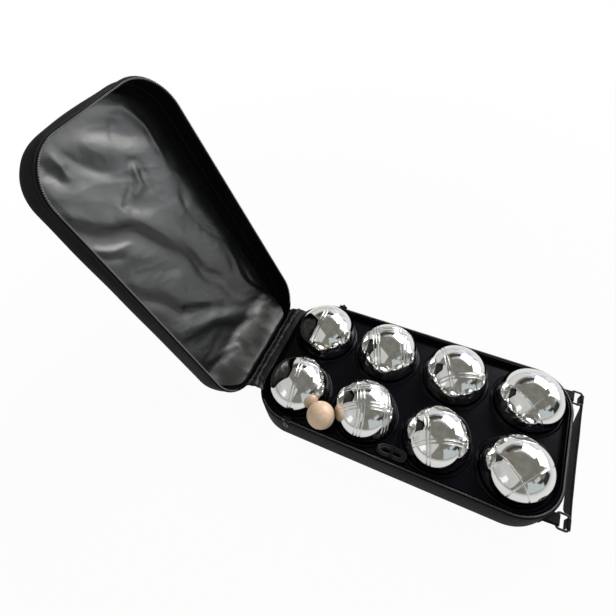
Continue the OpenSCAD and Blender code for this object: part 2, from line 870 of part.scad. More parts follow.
// Band round the waist of the hank
module cord_tie() {
  half = waist_half + seat_gap;
  high = cord_d + (hank_layers - 1) * layer_step + 2 * seat_gap;
  color([0.08, 0.08, 0.09])
    translate([hank_x, hank_y, hank_z - seat_gap])
      difference() {
        translate([-tie_w / 2, -half - tie_t, -tie_t])
          cube([tie_w, 2 * (half + tie_t), high + 2 * tie_t]);
        translate([-tie_w / 2 - cut, -half, 0])
          cube([tie_w + 2 * cut, 2 * half, high]);
      }
}

case_floor();
base_wall();
base_piping();
base_zip_tape();
base_zip_teeth();
hinge_band();
hinge_strip();
tray();
tab(-1);  // tab_front
tab(1);  // tab_back
lid_panel();
lid_wall();
lid_lining();
lid_piping();
lid_zip_tape();
lid_zip_teeth();
lid_hinge_band();
lid_hinge_strip();
slider(-1);  // slider_front
slider(1);  // slider_back
pull(-1);  // pull_front
pull(1);  // pull_back
ring(-1);  // ring_front
ring(1);  // ring_back
handle_strap();
boule_half(1, 1);  // boule_1_upper
boule_half(1, -1);  // boule_1_lower
boule_weld(1);  // boule_1_weld
boule_half(2, 1);  // boule_2_upper
boule_half(2, -1);  // boule_2_lower
boule_weld(2);  // boule_2_weld
boule_half(3, 1);  // boule_3_upper
boule_half(3, -1);  // boule_3_lower
boule_weld(3);  // boule_3_weld
boule_half(4, 1);  // boule_4_upper
boule_half(4, -1);  // boule_4_lower
boule_weld(4);  // boule_4_weld
boule_half(5, 1);  // boule_5_upper
boule_half(5, -1);  // boule_5_lower
boule_weld(5);  // boule_5_weld
boule_half(6, 1);  // boule_6_upper
boule_half(6, -1);  // boule_6_lower
boule_weld(6);  // boule_6_weld
boule_half(7, 1);  // boule_7_upper
boule_half(7, -1);  // boule_7_lower
boule_weld(7);  // boule_7_weld
boule_half(8, 1);  // boule_8_upper
boule_half(8, -1);  // boule_8_lower
boule_weld(8);  // boule_8_weld
jack();
measuring_cord();
cord_tie();
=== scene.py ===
import math

import bmesh
import bpy
from mathutils import Matrix, Quaternion, Vector, noise


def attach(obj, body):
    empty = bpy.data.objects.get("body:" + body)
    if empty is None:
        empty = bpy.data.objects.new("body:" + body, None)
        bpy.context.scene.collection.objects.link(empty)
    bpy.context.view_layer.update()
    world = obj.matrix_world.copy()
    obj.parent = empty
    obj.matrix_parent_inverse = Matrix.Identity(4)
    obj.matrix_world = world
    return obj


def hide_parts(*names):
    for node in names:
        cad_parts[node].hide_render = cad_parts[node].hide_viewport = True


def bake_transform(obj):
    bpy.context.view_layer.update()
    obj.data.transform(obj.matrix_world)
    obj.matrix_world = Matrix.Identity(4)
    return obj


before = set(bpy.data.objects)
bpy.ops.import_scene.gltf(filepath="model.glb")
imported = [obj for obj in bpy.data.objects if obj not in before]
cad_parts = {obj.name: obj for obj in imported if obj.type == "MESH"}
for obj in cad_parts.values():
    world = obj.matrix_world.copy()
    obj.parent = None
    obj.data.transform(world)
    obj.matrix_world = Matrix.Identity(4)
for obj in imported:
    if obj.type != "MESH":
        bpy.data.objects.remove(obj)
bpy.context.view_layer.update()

# Sizes, in metres

MM = 0.001
HALF_L = 173.5 * MM
HALF_W = 89.5 * MM
CORNER_R = 47.5 * MM
CORNER_X = HALF_L - CORNER_R
CORNER_Y = HALF_W - CORNER_R
BASE_H = 38.0 * MM
WALL_TOP = 33.0 * MM
WALL_T = 1.6 * MM
MOUTH_Z = 39.6 * MM
LID_WALL_Z = 44.6 * MM
LINING_Z = 78.2 * MM
PANEL_Z = 79.4 * MM
LEAN_Z = 63.0 * MM
LID_LEAN = 9.0 * MM
LID_ROUND = 18.0 * MM
PIPING_R = 1.2 * MM
AXIS_X = -174.7 * MM
AXIS_Z = 22.8 * MM
LID_OPEN = 111.0
TEETH_PITCH = 2.0 * MM
TEETH_H = 1.6 * MM
BOULE_R = 36.5 * MM
BOULE_Z = 38.502 * MM
BOULE_PITCH = 84.0 * MM
JACK_R = 16.0 * MM
JACK_AT = Vector((-84.0, -71.6, 50.651)) * MM
RING_Y = 72.0 * MM
RING_Z = 28.0 * MM
HANDLE_X = 171.404 * MM
STRAP_X = 182.404 * MM
CORD_D = 1.6 * MM
HANK_AT = Vector((2.0, -75.4, 31.1)) * MM

OPEN = (
    Matrix.Translation((AXIS_X, 0, AXIS_Z))
    @ Matrix.Rotation(math.radians(-LID_OPEN), 4, "Y")
    @ Matrix.Translation((-AXIS_X, 0, -AXIS_Z))
)


def lean(z):
    """How far the lid's wall leans in at a height of the shut lid."""
    if z <= LEAN_Z:
        return 0.0
    return LID_LEAN * (1 - math.sqrt(max(0.0, 1 - ((z - LEAN_Z) / LID_ROUND) ** 2)))


def smooth_step(low, high, value):
    t = min(1.0, max(0.0, (value - low) / (high - low)))
    return t * t * (3 - 2 * t)


def wander(place, size, seed):
    """Smooth noise, mostly from -1 to 1, with waves about as long as size."""
    p = place / size + Vector((seed * 7.31, seed * 3.17, seed * 1.93))
    return noise.noise(p, noise_basis="PERLIN_ORIGINAL") * 1.6


# Camera

PHOTO_SIZE = 616
FOCAL_PX = 435.9
SENSOR = 36
CAMERA_AT = (0.0212, -0.2467, 0.5176)
YAW, PITCH, ROLL = (math.radians(a) for a in (-30.63, 52.46, -7.33))
ahead = Vector((math.sin(YAW) * math.cos(PITCH), math.cos(YAW) * math.cos(PITCH), -math.sin(PITCH)))
level_right = Vector((math.cos(YAW), -math.sin(YAW), 0))
level_up = level_right.cross(ahead)
right = math.cos(ROLL) * level_right + math.sin(ROLL) * level_up
up = -math.sin(ROLL) * level_right + math.cos(ROLL) * level_up
camera_data = bpy.data.cameras.new("camera")
camera_data.sensor_width = SENSOR
camera_data.lens = SENSOR * FOCAL_PX / PHOTO_SIZE
camera_data.clip_start = 0.02
camera = bpy.data.objects.new("camera", camera_data)
camera.matrix_world = Matrix.Translation(CAMERA_AT) @ Matrix((right, up, -ahead)).transposed().to_4x4()
bpy.context.scene.collection.objects.link(camera)
bpy.context.scene.camera = camera
bpy.context.scene.view_settings.view_transform = "Standard"


# Mesh helpers


def piece(name, bm, body, material, replaces=(), blend=None):
    """Makes a finished piece of a bmesh and gives it its body and its material.

    What rides on the lid is modelled on the shut lid, and is turned open here."""
    mesh = bpy.data.meshes.new(name)
    if body == "lid":
        bm.transform(OPEN)
    bm.to_mesh(mesh)
    bm.free()
    for face in mesh.polygons:
        face.use_smooth = True
    obj = bpy.data.objects.new(name, mesh)
    bpy.context.scene.collection.objects.link(obj)
    mesh.materials.append(material)
    if blend:
        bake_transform(obj)
    else:
        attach(obj, body)
    if replaces:
        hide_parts(*replaces)
    return obj


def faces_out(bm):
    bmesh.ops.recalc_face_normals(bm, faces=bm.faces[:])


def add_profile(bm, points, closed=True):
    """Edges through a few points, the section that a sweep starts from."""
    verts = [bm.verts.new(p) for p in points]
    count = len(verts) if closed else len(verts) - 1
    edges = [bm.edges.new((verts[i], verts[(i + 1) % len(verts)])) for i in range(count)]
    return verts + edges


def turn_round(bm, points, steps, closed=True):
    """Turns a section once round the upright axis."""
    bmesh.ops.spin(
        bm, geom=add_profile(bm, points, closed), cent=(0, 0, 0), axis=(0, 0, 1), dvec=(0, 0, 0),
        angle=2 * math.pi, steps=steps, use_merge=True, use_duplicate=False,
    )
    bmesh.ops.remove_doubles(bm, verts=bm.verts[:], dist=0.001 * MM)
    faces_out(bm)


LONG, SHORT = 2 * CORNER_X, 2 * CORNER_Y
ARC = CORNER_R * math.pi / 2
LAP = 2 * LONG + 2 * SHORT + 4 * ARC
# Sides of the case in order: length, the corner where each starts, direction of its outside
SIDES = [(LONG, (-1, -1), 270), (SHORT, (1, -1), 0), (LONG, (1, 1), 90), (SHORT, (-1, 1), 180)]
# Where a sweep once round the case, along the zip and along the hinge starts
STARTS = {"round": (270, -1, -1), "zip": (225, -1, -1), "hinge": (135, -1, 1)}


def corner(sx, sy):
    """Middle of a corner's arc."""
    return Vector((sx * CORNER_X, sy * CORNER_Y, 0))


def side_frame(degrees):
    """Outward direction of a side, and the direction along it."""
    a = math.radians(degrees)
    out = Vector((round(math.cos(a)), round(math.sin(a)), 0))
    return out, Vector((-out.y, out.x, 0))


def station(degrees, sx, sy, inset, z):
    """Point on a corner's arc, at an inset from the outside of the case."""
    a = math.radians(degrees)
    r = CORNER_R - inset
    return Vector((sx * CORNER_X + r * math.cos(a), sy * CORNER_Y + r * math.sin(a), z))


def case_legs(way, fine):
    """Straight legs and arcs of a sweep: centre, run, degrees and steps of each."""
    still = Vector((0, 0, 0))
    whole = []
    for n, (length, _, outward) in enumerate(SIDES):
        steps = max(1, int((62 if length == LONG else 22) * fine))
        whole.append((still, side_frame(outward)[1] * length, 0, steps))
        whole.append((corner(*SIDES[(n + 1) % 4][1]), still, 90, max(1, int(22 * fine))))
    if way == "round":
        return whole
    front, back = ((corner(-1, sy), still, 45, max(1, int(11 * fine))) for sy in (-1, 1))
    return [front] + whole[:5] + [back] if way == "zip" else [back, whole[6], front]


def along_case(p):
    """Distance round the case to a place, and the outward direction there."""
    x, y = p.x, p.y
    if y <= -CORNER_Y and abs(x) <= CORNER_X:
        return x + CORNER_X, Vector((0, -1, 0))
    if x >= CORNER_X and abs(y) <= CORNER_Y:
        return LONG + ARC + y + CORNER_Y, Vector((1, 0, 0))
    if y >= CORNER_Y and abs(x) <= CORNER_X:
        return LONG + 2 * ARC + SHORT + CORNER_X - x, Vector((0, 1, 0))
    if x <= -CORNER_X and abs(y) <= CORNER_Y:
        return 2 * LONG + 3 * ARC + SHORT + CORNER_Y - y, Vector((-1, 0, 0))
    sx, sy = (1 if x > 0 else -1), (1 if y > 0 else -1)
    out = Vector((x - sx * CORNER_X, y - sy * CORNER_Y, 0))
    if out.length < 1e-9:
        return 0.0, Vector((1, 0, 0))
    a = math.degrees(math.atan2(out.y, out.x)) % 360
    start = {(1, -1): (270, LONG), (1, 1): (0, LONG + ARC + SHORT),
             (-1, 1): (90, 2 * LONG + 2 * ARC + SHORT), (-1, -1): (180, 2 * LONG + 3 * ARC + 2 * SHORT)}
    first, before = start[(sx, sy)]
    return before + math.radians((a - first) % 360) * CORNER_R, out.normalized()


def point_at(run, inset):
    """Point and outward angle at a distance round the case."""
    for n, (length, first, outward) in enumerate(SIDES):
        if run <= length:
            out, along = side_frame(outward)
            return corner(*first) + out * (CORNER_R - inset) + along * run, math.radians(outward)
        run -= length
        if run <= ARC:
            angle = outward + math.degrees(run / CORNER_R)
            return station(angle, *SIDES[(n + 1) % 4][1], inset, 0), math.radians(angle)
        run -= ARC
    return station(270, -1, -1, inset, 0), math.radians(270)


def wrap_uv(bm):
    """UV in metres: distance round the case, and height."""
    layer = bm.loops.layers.uv.verify()
    for face in bm.faces:
        us = [along_case(loop.vert.co)[0] for loop in face.loops]
        top = max(us)
        for loop, u in zip(face.loops, us):
            if top - u > LAP / 2:
                u += LAP
            loop[layer].uv = (u, loop.vert.co.z)


def close_ends(bm):
    """Closes the open ends of a swept tube."""
    open_edges = [e for e in bm.edges if e.is_boundary]
    if open_edges:
        bmesh.ops.holes_fill(bm, edges=open_edges, sides=0)


def swept(profile, way, fine=1.0):
    """Sweeps a closed section, points of inset and height, along a way of the case."""
    bm = bmesh.new()
    geom = add_profile(bm, [station(*STARTS[way], inset, z) for inset, z in profile])
    for centre, run, degrees, steps in case_legs(way, fine):
        geom = bmesh.ops.spin(
            bm, geom=geom, cent=centre, axis=(0, 0, 1), dvec=run / steps, angle=math.radians(degrees),
            steps=steps, use_merge=False, use_duplicate=False,
        )["geom_last"]
    bmesh.ops.remove_doubles(bm, verts=bm.verts[:], dist=0.02 * MM)
    close_ends(bm)
    faces_out(bm)
    wrap_uv(bm)
    return bm


def circle_profile(inset, z, r, sides):
    angles = [2 * math.pi * k / sides for k in range(sides)]
    return [(inset + r * math.cos(a), z + r * math.sin(a)) for a in angles]


def by_xy(p, u, v):
    return p.x, p.y


def by_yz(p, u, v):
    return p.y, p.z


def sheet(nu, nv, place, cloth_place):
    """A sheet whose points go where place(u, v) puts them, u and v from 0 to 1.

    Its UV is in metres, as cloth_place gives it for a point and its u and v."""
    bm = bmesh.new()
    grid = bmesh.ops.create_grid(bm, x_segments=nu, y_segments=nv, size=0.5)
    layer = bm.loops.layers.uv.verify()
    flat = {v: (v.co.x + 0.5, v.co.y + 0.5) for v in grid["verts"]}
    for v, (a, b) in flat.items():
        v.co = place(a, b)
    for face in bm.faces:
        for loop in face.loops:
            loop[layer].uv = cloth_place(loop.vert.co, *flat[loop.vert])
    faces_out(bm)
    return bm


def thicken(bm, thickness):
    bmesh.ops.solidify(bm, geom=bm.faces[:], thickness=thickness)
    faces_out(bm)


def blocks(places, size, blunt):
    """Equal small blocks with blunted edges, one at each place, for teeth and stitches."""
    bm = bmesh.new()
    for place in places:
        bmesh.ops.create_cube(bm, size=1, matrix=place @ Matrix.Diagonal((*size, 1)))
    bmesh.ops.bevel(bm, geom=bm.edges[:], offset=blunt, offset_type="OFFSET", affect="EDGES",
                    segments=1, profile=0.5, material=-1)
    return bm


# Materials


class Nodes:
    """A node tree, with short ways to add nodes to it."""

    def __init__(self, tree):
        self.tree = tree

    def fill(self, node, inputs):
        """Gives a node's inputs a value each, or another node's output."""
        for socket, value in inputs.items():
            if isinstance(value, bpy.types.NodeSocket):
                self.tree.links.new(value, node.inputs[socket])
            else:
                node.inputs[socket].default_value = value
        return node.outputs

    def add(self, kind, inputs):
        return self.fill(self.tree.nodes.new(kind), inputs)

    def math(self, operation, *values):
        node = self.tree.nodes.new("ShaderNodeMath")
        node.operation = operation
        return self.fill(node, dict(enumerate(values)))[0]

    def clamp(self, value):
        return self.math("MINIMUM", self.math("MAXIMUM", value, 0.0), 1.0)

    def noise(self, vector, scale, detail, rough):
        inputs = {"Scale": scale, "Detail": detail, "Roughness": rough, "Vector": vector}
        return self.add("ShaderNodeTexNoise", inputs)["Fac"]

    def spread(self, value, low, high, first=0.0, last=1.0):
        """Maps a value's range from first to last onto low to high."""
        inputs = {"From Min": first, "From Max": last, "To Min": low, "To Max": high, "Value": value}
        return self.add("ShaderNodeMapRange", inputs)[0]

    def mix(self, factor, first, second):
        """Mixes two colours, each three numbers or another node's output."""
        node = self.tree.nodes.new("ShaderNodeMix")
        node.data_type = "RGBA"
        first, second = ((*color, 1) if isinstance(color, tuple) else color for color in (first, second))
        return self.fill(node, {6: first, 7: second, 0: factor})[2]

    def group(self, tree, inputs):
        node = self.tree.nodes.new("ShaderNodeGroup")
        node.node_tree = tree
        return self.fill(node, inputs)


def node_group(name, inputs, outputs):
    """Starts a node group of numbers; an input without a value is a vector."""
    group = bpy.data.node_groups.new(name, "ShaderNodeTree")
    for label, value in inputs.items():
        kind = "NodeSocketVector" if value is None else "NodeSocketFloat"
        socket = group.interface.new_socket(name=label, in_out="INPUT", socket_type=kind)
        if value is not None:
            socket.default_value = value
    for label in outputs:
        group.interface.new_socket(name=label, in_out="OUTPUT", socket_type="NodeSocketFloat")
    return Nodes(group), group.nodes.new("NodeGroupInput").outputs, group.nodes.new("NodeGroupOutput")


def make_weave_group():
    """Threads crossing over and under; the threads' width is an input."""
    inputs = {"Vector": None, "Thread along": 0.0006, "Thread across": 0.0006}
    g, given, result = node_group("woven threads", inputs, ("Height", "Gap"))
    parts = g.add("ShaderNodeSeparateXYZ", {0: given["Vector"]})
    waves = []
    for part, width in ((parts[0], given["Thread along"]), (parts[1], given["Thread across"])):
        waves.append(g.math("SINE", g.math("MULTIPLY", g.math("DIVIDE", part, width), math.pi)))
    cross = g.math("MULTIPLY", *waves)
    ribs = g.math("MULTIPLY", *(g.math("ABSOLUTE", wave) for wave in waves))
    high = g.math("ADD", g.math("MULTIPLY", cross, 0.35), g.math("MULTIPLY", ribs, 0.65))
    # Gap marks where the threads dip apart; the cloth and braid darken their colour there as painted shade
    g.fill(result, {"Height": high, "Gap": g.math("SUBTRACT", 1.0, g.math("POWER", ribs, 0.4))})
    return g.tree


def make_handled_group():
    """Soft patches and fine lint, as on dark cloth that has been handled."""
    inputs = {"Vector": None, "Patch size": 0.05}
    g, given, result = node_group("handled surface", inputs, ("Patches", "Lint"))
    node = g.tree.nodes.new("ShaderNodeVectorMath")
    node.operation = "SCALE"
    scaled = g.fill(node, {0: given["Vector"], "Scale": g.math("DIVIDE", 1.0, given["Patch size"])})[0]
    lint = g.math("MULTIPLY", g.math("SUBTRACT", g.noise(scaled, 38.0, 2.0, 0.7), 0.66), 7.0)
    g.fill(result, {"Patches": g.noise(scaled, 1.0, 3.0, 0.55), "Lint": g.clamp(lint)})
    return g.tree


WEAVE = make_weave_group()
HANDLED = make_handled_group()


class Finish(Nodes):
    """One material: a principled shader with helpers that add its detail."""

    def __init__(self, name, color, rough, specular=0.5, metallic=0.0):
        self.material = bpy.data.materials.new(name)
        self.material.use_nodes = True
        super().__init__(self.material.node_tree)
        self.shader = self.tree.nodes["Principled BSDF"]
        self.shade({"Base Color": (*color, 1), "Roughness": rough, "Metallic": metallic,
                    "Specular IOR Level": specular})
        place = self.tree.nodes.new("ShaderNodeTexCoord").outputs
        self.object, self.uv = place["Object"], place["UV"]

    def shade(self, inputs):
        self.fill(self.shader, inputs)

    def weave(self, along, across):
        return self.group(WEAVE, {"Vector": self.uv, "Thread along": along, "Thread across": across})

    def handled(self, size):
        return self.group(HANDLED, {"Vector": self.object, "Patch size": size})

    def bump(self, *heights):
        """Bumps of several heights, each a value and its depth in metres."""
        normal = {}
        for value, depth in heights:
            normal = {"Normal": self.add("ShaderNodeBump", {"Distance": depth, "Height": value, **normal})[0]}
        self.shade(normal)


def cloth(name, dark, light, rough, along, across=None, depth=0.00012, specular=0.12):
    """Woven black cloth: threads, soft patches of wear, a little lint, and painted shade where the threads
    dip apart.
    """
    f = Finish(name, dark, rough, specular)
    weave = f.weave(along, across or along)
    handled = f.handled(0.06)
    worn = f.mix(handled["Patches"], dark, light)
    lint = f.mix(handled["Lint"], worn, tuple(c * 1.6 + 0.004 for c in light))
    # painted shade: the colour is darkened where the threads dip apart
    shaded_gaps = f.mix(weave["Gap"], lint, tuple(c * 0.45 for c in dark))
    f.shade({"Base Color": shaded_gaps, "Roughness": f.spread(handled["Patches"], rough - 0.08, rough + 0.1)})
    f.bump((weave["Height"], depth), (handled["Patches"], 0.0006))
    return f.material


def plastic(name, dark, light, rough, grain, depth, specular, patch=0.03):
    """Moulded or formed plastic: fine grain and slightly uneven gloss."""
    f = Finish(name, dark, rough, specular)
    patches = f.handled(patch)["Patches"]
    gloss = f.spread(patches, rough - 0.05, rough + 0.1)
    f.shade({"Base Color": f.mix(patches, dark, light), "Roughness": gloss})
    f.bump((f.noise(f.object, grain, 3.0, 0.6), depth), (patches, 0.0004))
    return f.material


def painted(name, dark, bare, rough, chips=0.64):
    """Painted metal whose paint is worn through in small spots."""
    f = Finish(name, dark, rough, specular=0.6)
    gloss = f.spread(f.handled(0.006)["Patches"], rough - 0.1, rough + 0.12)
    spots = f.noise(f.object, 1400.0, 3.0, 0.7)
    worn = f.math("GREATER_THAN", spots, chips)
    f.shade({"Base Color": f.mix(worn, dark, bare), "Metallic": worn, "Roughness": gloss})
    f.bump((spots, 0.00003))
    return f.material


def chromed(name, color, rough):
    """Chrome with a faint haze and a few fine scuffs."""
    f = Finish(name, color, rough, metallic=1.0)
    haze = f.noise(f.object, 60.0, 4.0, 0.6)
    scuffs = f.math("GREATER_THAN", f.noise(f.object, 900.0, 2.0, 0.7), 0.72)
    gloss = f.math("ADD", f.spread(haze, rough * 0.6, rough * 1.7), f.math("MULTIPLY", scuffs, 0.12))
    f.shade({"Roughness": gloss, "Base Color": f.mix(haze, color, tuple(c * 0.93 for c in color))})
    f.bump((haze, 0.00002))
    return f.material


NYLON = cloth("black nylon", (0.002, 0.002, 0.0023), (0.005, 0.005, 0.0056), 0.62, 0.0007)
# painted light: the gusset and its welts are lighter copies of the black nylon, standing in for light on
# their crumples and ridges; their stronger gloss is real
LIT_GUSSET = cloth("gusset cloth", (0.007, 0.007, 0.0075), (0.018, 0.018, 0.0195), 0.36, 0.0007, specular=0.9)
LIT_WELT = cloth("welt cloth", (0.03, 0.03, 0.032), (0.06, 0.06, 0.063), 0.42, 0.0006, specular=0.5)
PIPING = cloth("piping cloth", (0.016, 0.016, 0.017), (0.034, 0.034, 0.036), 0.5, 0.0006, depth=0.0001)
TAPE = cloth("zip tape", (0.004, 0.004, 0.0045), (0.009, 0.009, 0.01), 0.7, 0.0005, 0.0009)
WEBBING = cloth("webbing", (0.006, 0.006, 0.0065), (0.014, 0.014, 0.015), 0.6, 0.0011, 0.0022, depth=0.0003)
THREAD = cloth("black thread", (0.012, 0.012, 0.013), (0.03, 0.03, 0.032), 0.5, 0.0002, depth=0.00003)
TEETH = plastic("zip teeth", (0.10, 0.10, 0.105), (0.19, 0.19, 0.195), 0.28, 900, 0.00003, 0.6)
TRAY_DARK, TRAY_LIGHT = (0.0018, 0.0018, 0.0048), (0.0034, 0.0034, 0.008)
TRAY = plastic("formed tray", TRAY_DARK, TRAY_LIGHT, 0.2, 350, 0.00004, 0.15, patch=0.08)
RING = plastic("moulded ring", (0.006, 0.006, 0.0065), (0.016, 0.016, 0.017), 0.36, 700, 0.00004, 0.4)
SLIDER = painted("slider paint", (0.012, 0.012, 0.013), (0.3, 0.29, 0.28), 0.35)
PULL = painted("pull wire", (0.03, 0.03, 0.032), (0.4, 0.39, 0.37), 0.3, 0.6)
CHROME = chromed("boule chrome", (0.86, 0.86, 0.85), 0.045)
GROOVE = chromed("groove chrome", (0.8, 0.8, 0.79), 0.07)
WELD = chromed("weld chrome", (0.8, 0.8, 0.79), 0.07)


def make_vinyl():
    """Thin soft vinyl: near black, its grey comes from its gloss; fine pressed grain."""
    f = Finish("lining vinyl", (0.012, 0.0125, 0.013), 0.33, specular=0.78)
    patches = f.handled(0.05)["Patches"]
    color = f.mix(patches, (0.009, 0.0095, 0.010), (0.019, 0.020, 0.0205))
    f.shade({"Base Color": color, "Roughness": f.spread(patches, 0.27, 0.38)})
    cells = f.add("ShaderNodeTexVoronoi", {"Scale": 1400.0, "Vector": f.object})
    f.bump((cells["Distance"], 0.00005), (patches, 0.0008))
    return f.material


def make_wood():
    """Pale turned beech: rings, short pores and a thin varnish."""
    f = Finish("turned beech", (0.74, 0.5, 0.33), 0.42)
    inputs = {"Location": tuple(-c for c in JACK_AT), "Rotation": (0.7, 0.35, 0.2), "Vector": f.object}
    turned = f.add("ShaderNodeMapping", inputs)
    stretched = f.add("ShaderNodeMapping", {"Scale": (1.0, 1.0, 0.14), "Vector": turned[0]})[0]
    waves = f.tree.nodes.new("ShaderNodeTexWave")
    waves.wave_type = "RINGS"
    waves.rings_direction = "Z"
    inputs = {"Scale": 90.0, "Distortion": 5.0, "Detail": 3.0, "Detail Scale": 1.6, "Vector": stretched}
    rings = f.fill(waves, inputs)["Fac"]
    pores = f.noise(stretched, 1500.0, 3.0, 0.7)
    fine = f.noise(stretched, 260.0, 4.0, 0.6)
    grain = f.mix(rings, (0.9, 0.66, 0.48), (0.84, 0.585, 0.395))
    mixed = f.mix(f.spread(fine, 0.0, 0.6), grain, (0.9, 0.68, 0.51))
    dark = f.math("MULTIPLY", f.math("GREATER_THAN", pores, 0.63), 0.45)
    f.shade({"Base Color": f.mix(dark, mixed, (0.5, 0.29, 0.17)), "Roughness": f.spread(fine, 0.35, 0.55),
             "Coat Weight": 0.25, "Coat Roughness": 0.2})
    f.bump((pores, 0.00003), (rings, 0.00004))
    return f.material


def make_braid():
    """Braided cord: strands that cross, by the tube's own UV, with painted shade where they dip apart."""
    f = Finish("braided cord", (0.02, 0.02, 0.022), 0.6, specular=0.4)
    weave = f.weave(0.0009, 0.0008)
    worn = f.mix(f.handled(0.01)["Patches"], (0.018, 0.018, 0.02), (0.05, 0.05, 0.053))
    # painted shade: the cord's colour is darkened where the strands dip apart
    color = f.mix(weave["Gap"], worn, (0.008, 0.008, 0.009))
    f.shade({"Base Color": color, "Sheen Weight": 0.3, "Sheen Roughness": 0.4})
    f.bump((weave["Height"], 0.00015))
    return f.material


VINYL = make_vinyl()
WOOD = make_wood()
BRAID = make_braid()


def dress_node(name, material):
    """Gives a CAD node a finished material."""
    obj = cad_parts[name]
    if not obj.material_slots:
        obj.data.materials.append(material)
    for place in obj.material_slots:
        place.material = material


# Measuring cord

LOOP_STEP, LAYER_STEP = 3.2 * MM, 2.1 * MM
LOOP_HALF_L, LOOP_HALF_W = 11.0 * MM, 3.0 * MM
WAIST = 0.25
LAYERS, LAYER_TURNS, SPIRAL_TURNS = 4, 2.0, 1.5
CORD_SPAN = LAYERS * LAYER_TURNS - 0.5
STEPS_A_TURN = 48


def cord_point(t):
    """The hank's middle line after t turns: loops that spiral in and out, layer on layer."""
    layer = min(LAYERS - 1, math.floor(t / LAYER_TURNS))
    into = t - layer * LAYER_TURNS
    spiral = min(SPIRAL_TURNS, into)
    spread = spiral if layer % 2 == 0 else SPIRAL_TURNS - spiral
    climb = layer if layer == LAYERS - 1 else layer + 2 * max(0.0, into - SPIRAL_TURNS)
    a = 2 * math.pi * t
    e = math.cos(a)
    s = math.sin(a)
    pinch = 1 - WAIST * (1 - e * e) ** 2
    y = 0.0 if abs(s) < 0.001 else math.copysign(abs(s) ** 0.7, s)
    return HANK_AT + Vector((
        (LOOP_HALF_L + LOOP_STEP * spread) * e,
        (LOOP_HALF_W + LOOP_STEP * spread) * pinch * y,
        CORD_D / 2 + LAYER_STEP * climb,
    ))


cord_path = [cord_point(i / STEPS_A_TURN) for i in range(int(CORD_SPAN * STEPS_A_TURN) + 1)]


def tube(path, r, sides):
    """A round tube along a path, closed at both ends, with UV in metres."""
    bm = bmesh.new()
    layer = bm.loops.layers.uv.verify()
    angles = [2 * math.pi * k / sides for k in range(sides)]
    rings = []
    side = None
    for i, p in enumerate(path):
        d = (path[min(i + 1, len(path) - 1)] - path[max(i - 1, 0)]).normalized()
        side = Vector((0, 0, 1)).cross(d) if side is None else side - d * side.dot(d)
        side.normalize()
        top = d.cross(side)
        rings.append([bm.verts.new(p + r * (math.cos(a) * side + math.sin(a) * top)) for a in angles])
    around = 2 * math.pi * r / sides
    run = 0.0
    for i in range(len(path) - 1):
        end = run + (path[i + 1] - path[i]).length
        for k in range(sides):
            n = (k + 1) % sides
            face = bm.faces.new((rings[i][k], rings[i][n], rings[i + 1][n], rings[i + 1][k]))
            low, high = k * around, (k + 1) * around
            for loop, uv in zip(face.loops, ((run, low), (run, high), (end, high), (end, low))):
                loop[layer].uv = uv
        run = end
    bm.faces.new(list(reversed(rings[0])))
    bm.faces.new(rings[-1])
    return bm


bm = tube(cord_path, CORD_D / 2, 8)
cord = piece("measuring_cord_braid", bm, "cord", BRAID, ["measuring_cord"])

# The tie: a strip wound round the waist of the hank
TIE_HALF_W = ((LOOP_HALF_W + SPIRAL_TURNS * LOOP_STEP) * (1 - WAIST)) + CORD_D / 2 + 0.35 * MM
TIE_HIGH = CORD_D + (LAYERS - 1) * LAYER_STEP + 0.7 * MM


def tie_point(turn, shift):
    """Point on a rounded rectangle round the hank's waist."""
    a = 2 * math.pi * turn
    c, s = math.cos(a), math.sin(a)
    y = math.copysign(abs(c) ** 0.35, c) * (TIE_HALF_W + 0.25 * MM)
    z = math.copysign(abs(s) ** 0.45, s) * (TIE_HIGH / 2 + 0.15 * MM)
    return HANK_AT + Vector((shift, y, TIE_HIGH / 2 - 0.3 * MM + z))


tie_path = [tie_point(i / 40, (-2.0 + i / 40 + 0.25 * math.sin(i * 0.7)) * MM) for i in range(161)]
piece("cord_tie_wound", tube(tie_path, 0.42 * MM, 6), "cord", THREAD, ["cord_tie"])

# Base of the case


def sag(bm, amount, size, seed, low, high, rise, inward):
    """Moves a wall in and out in slow soft waves, still at its lowest and highest edges."""
    for v in bm.verts:
        hold = smooth_step(low, low + rise, v.co.z) * smooth_step(high, high - 6 * MM, v.co.z)
        out = along_case(v.co)[1]
        v.co += out * amount * hold * max(inward, wander(v.co, size, seed))


def wall_profile(bulge):
    """Section of the base's wall, its outer face bulging in the middle."""
    t = WALL_T
    outer = [(0.35 * MM, 0.0), (0.0, 0.5 * MM)]
    for k in range(1, 12):
        outer.append((-bulge * math.sin(math.pi * k / 12) ** 0.8, WALL_TOP * k / 12))
    outer += [(0.0, WALL_TOP - 0.35 * MM), (0.35 * MM, WALL_TOP)]
    inner = [(t - 0.3 * MM, WALL_TOP), (t, WALL_TOP - 0.4 * MM), (t, WALL_TOP / 2)]
    return outer + inner + [(t, 0.4 * MM), (t - 0.3 * MM, 0.0)]


def flat_at_hinge(bm, high=None):
    """Presses a wall flat where the hinge strip is sewn over it, on the lid below a height."""
    for v in bm.verts:
        if v.co.x < -HALF_L:
            press = smooth_step(CORNER_Y + 6 * MM, CORNER_Y, abs(v.co.y))
            if high is not None:
                press *= smooth_step(high + 8 * MM, high, v.co.z)
            v.co.x += (-HALF_L - v.co.x) * press


bm = swept(wall_profile(0.7 * MM), "round")
sag(bm, 0.45 * MM, 38 * MM, 1, 0.5 * MM, WALL_TOP - 1 * MM, 6 * MM, -2)
flat_at_hinge(bm)
piece("base_wall_cloth", bm, "base", NYLON, ["base_wall"])


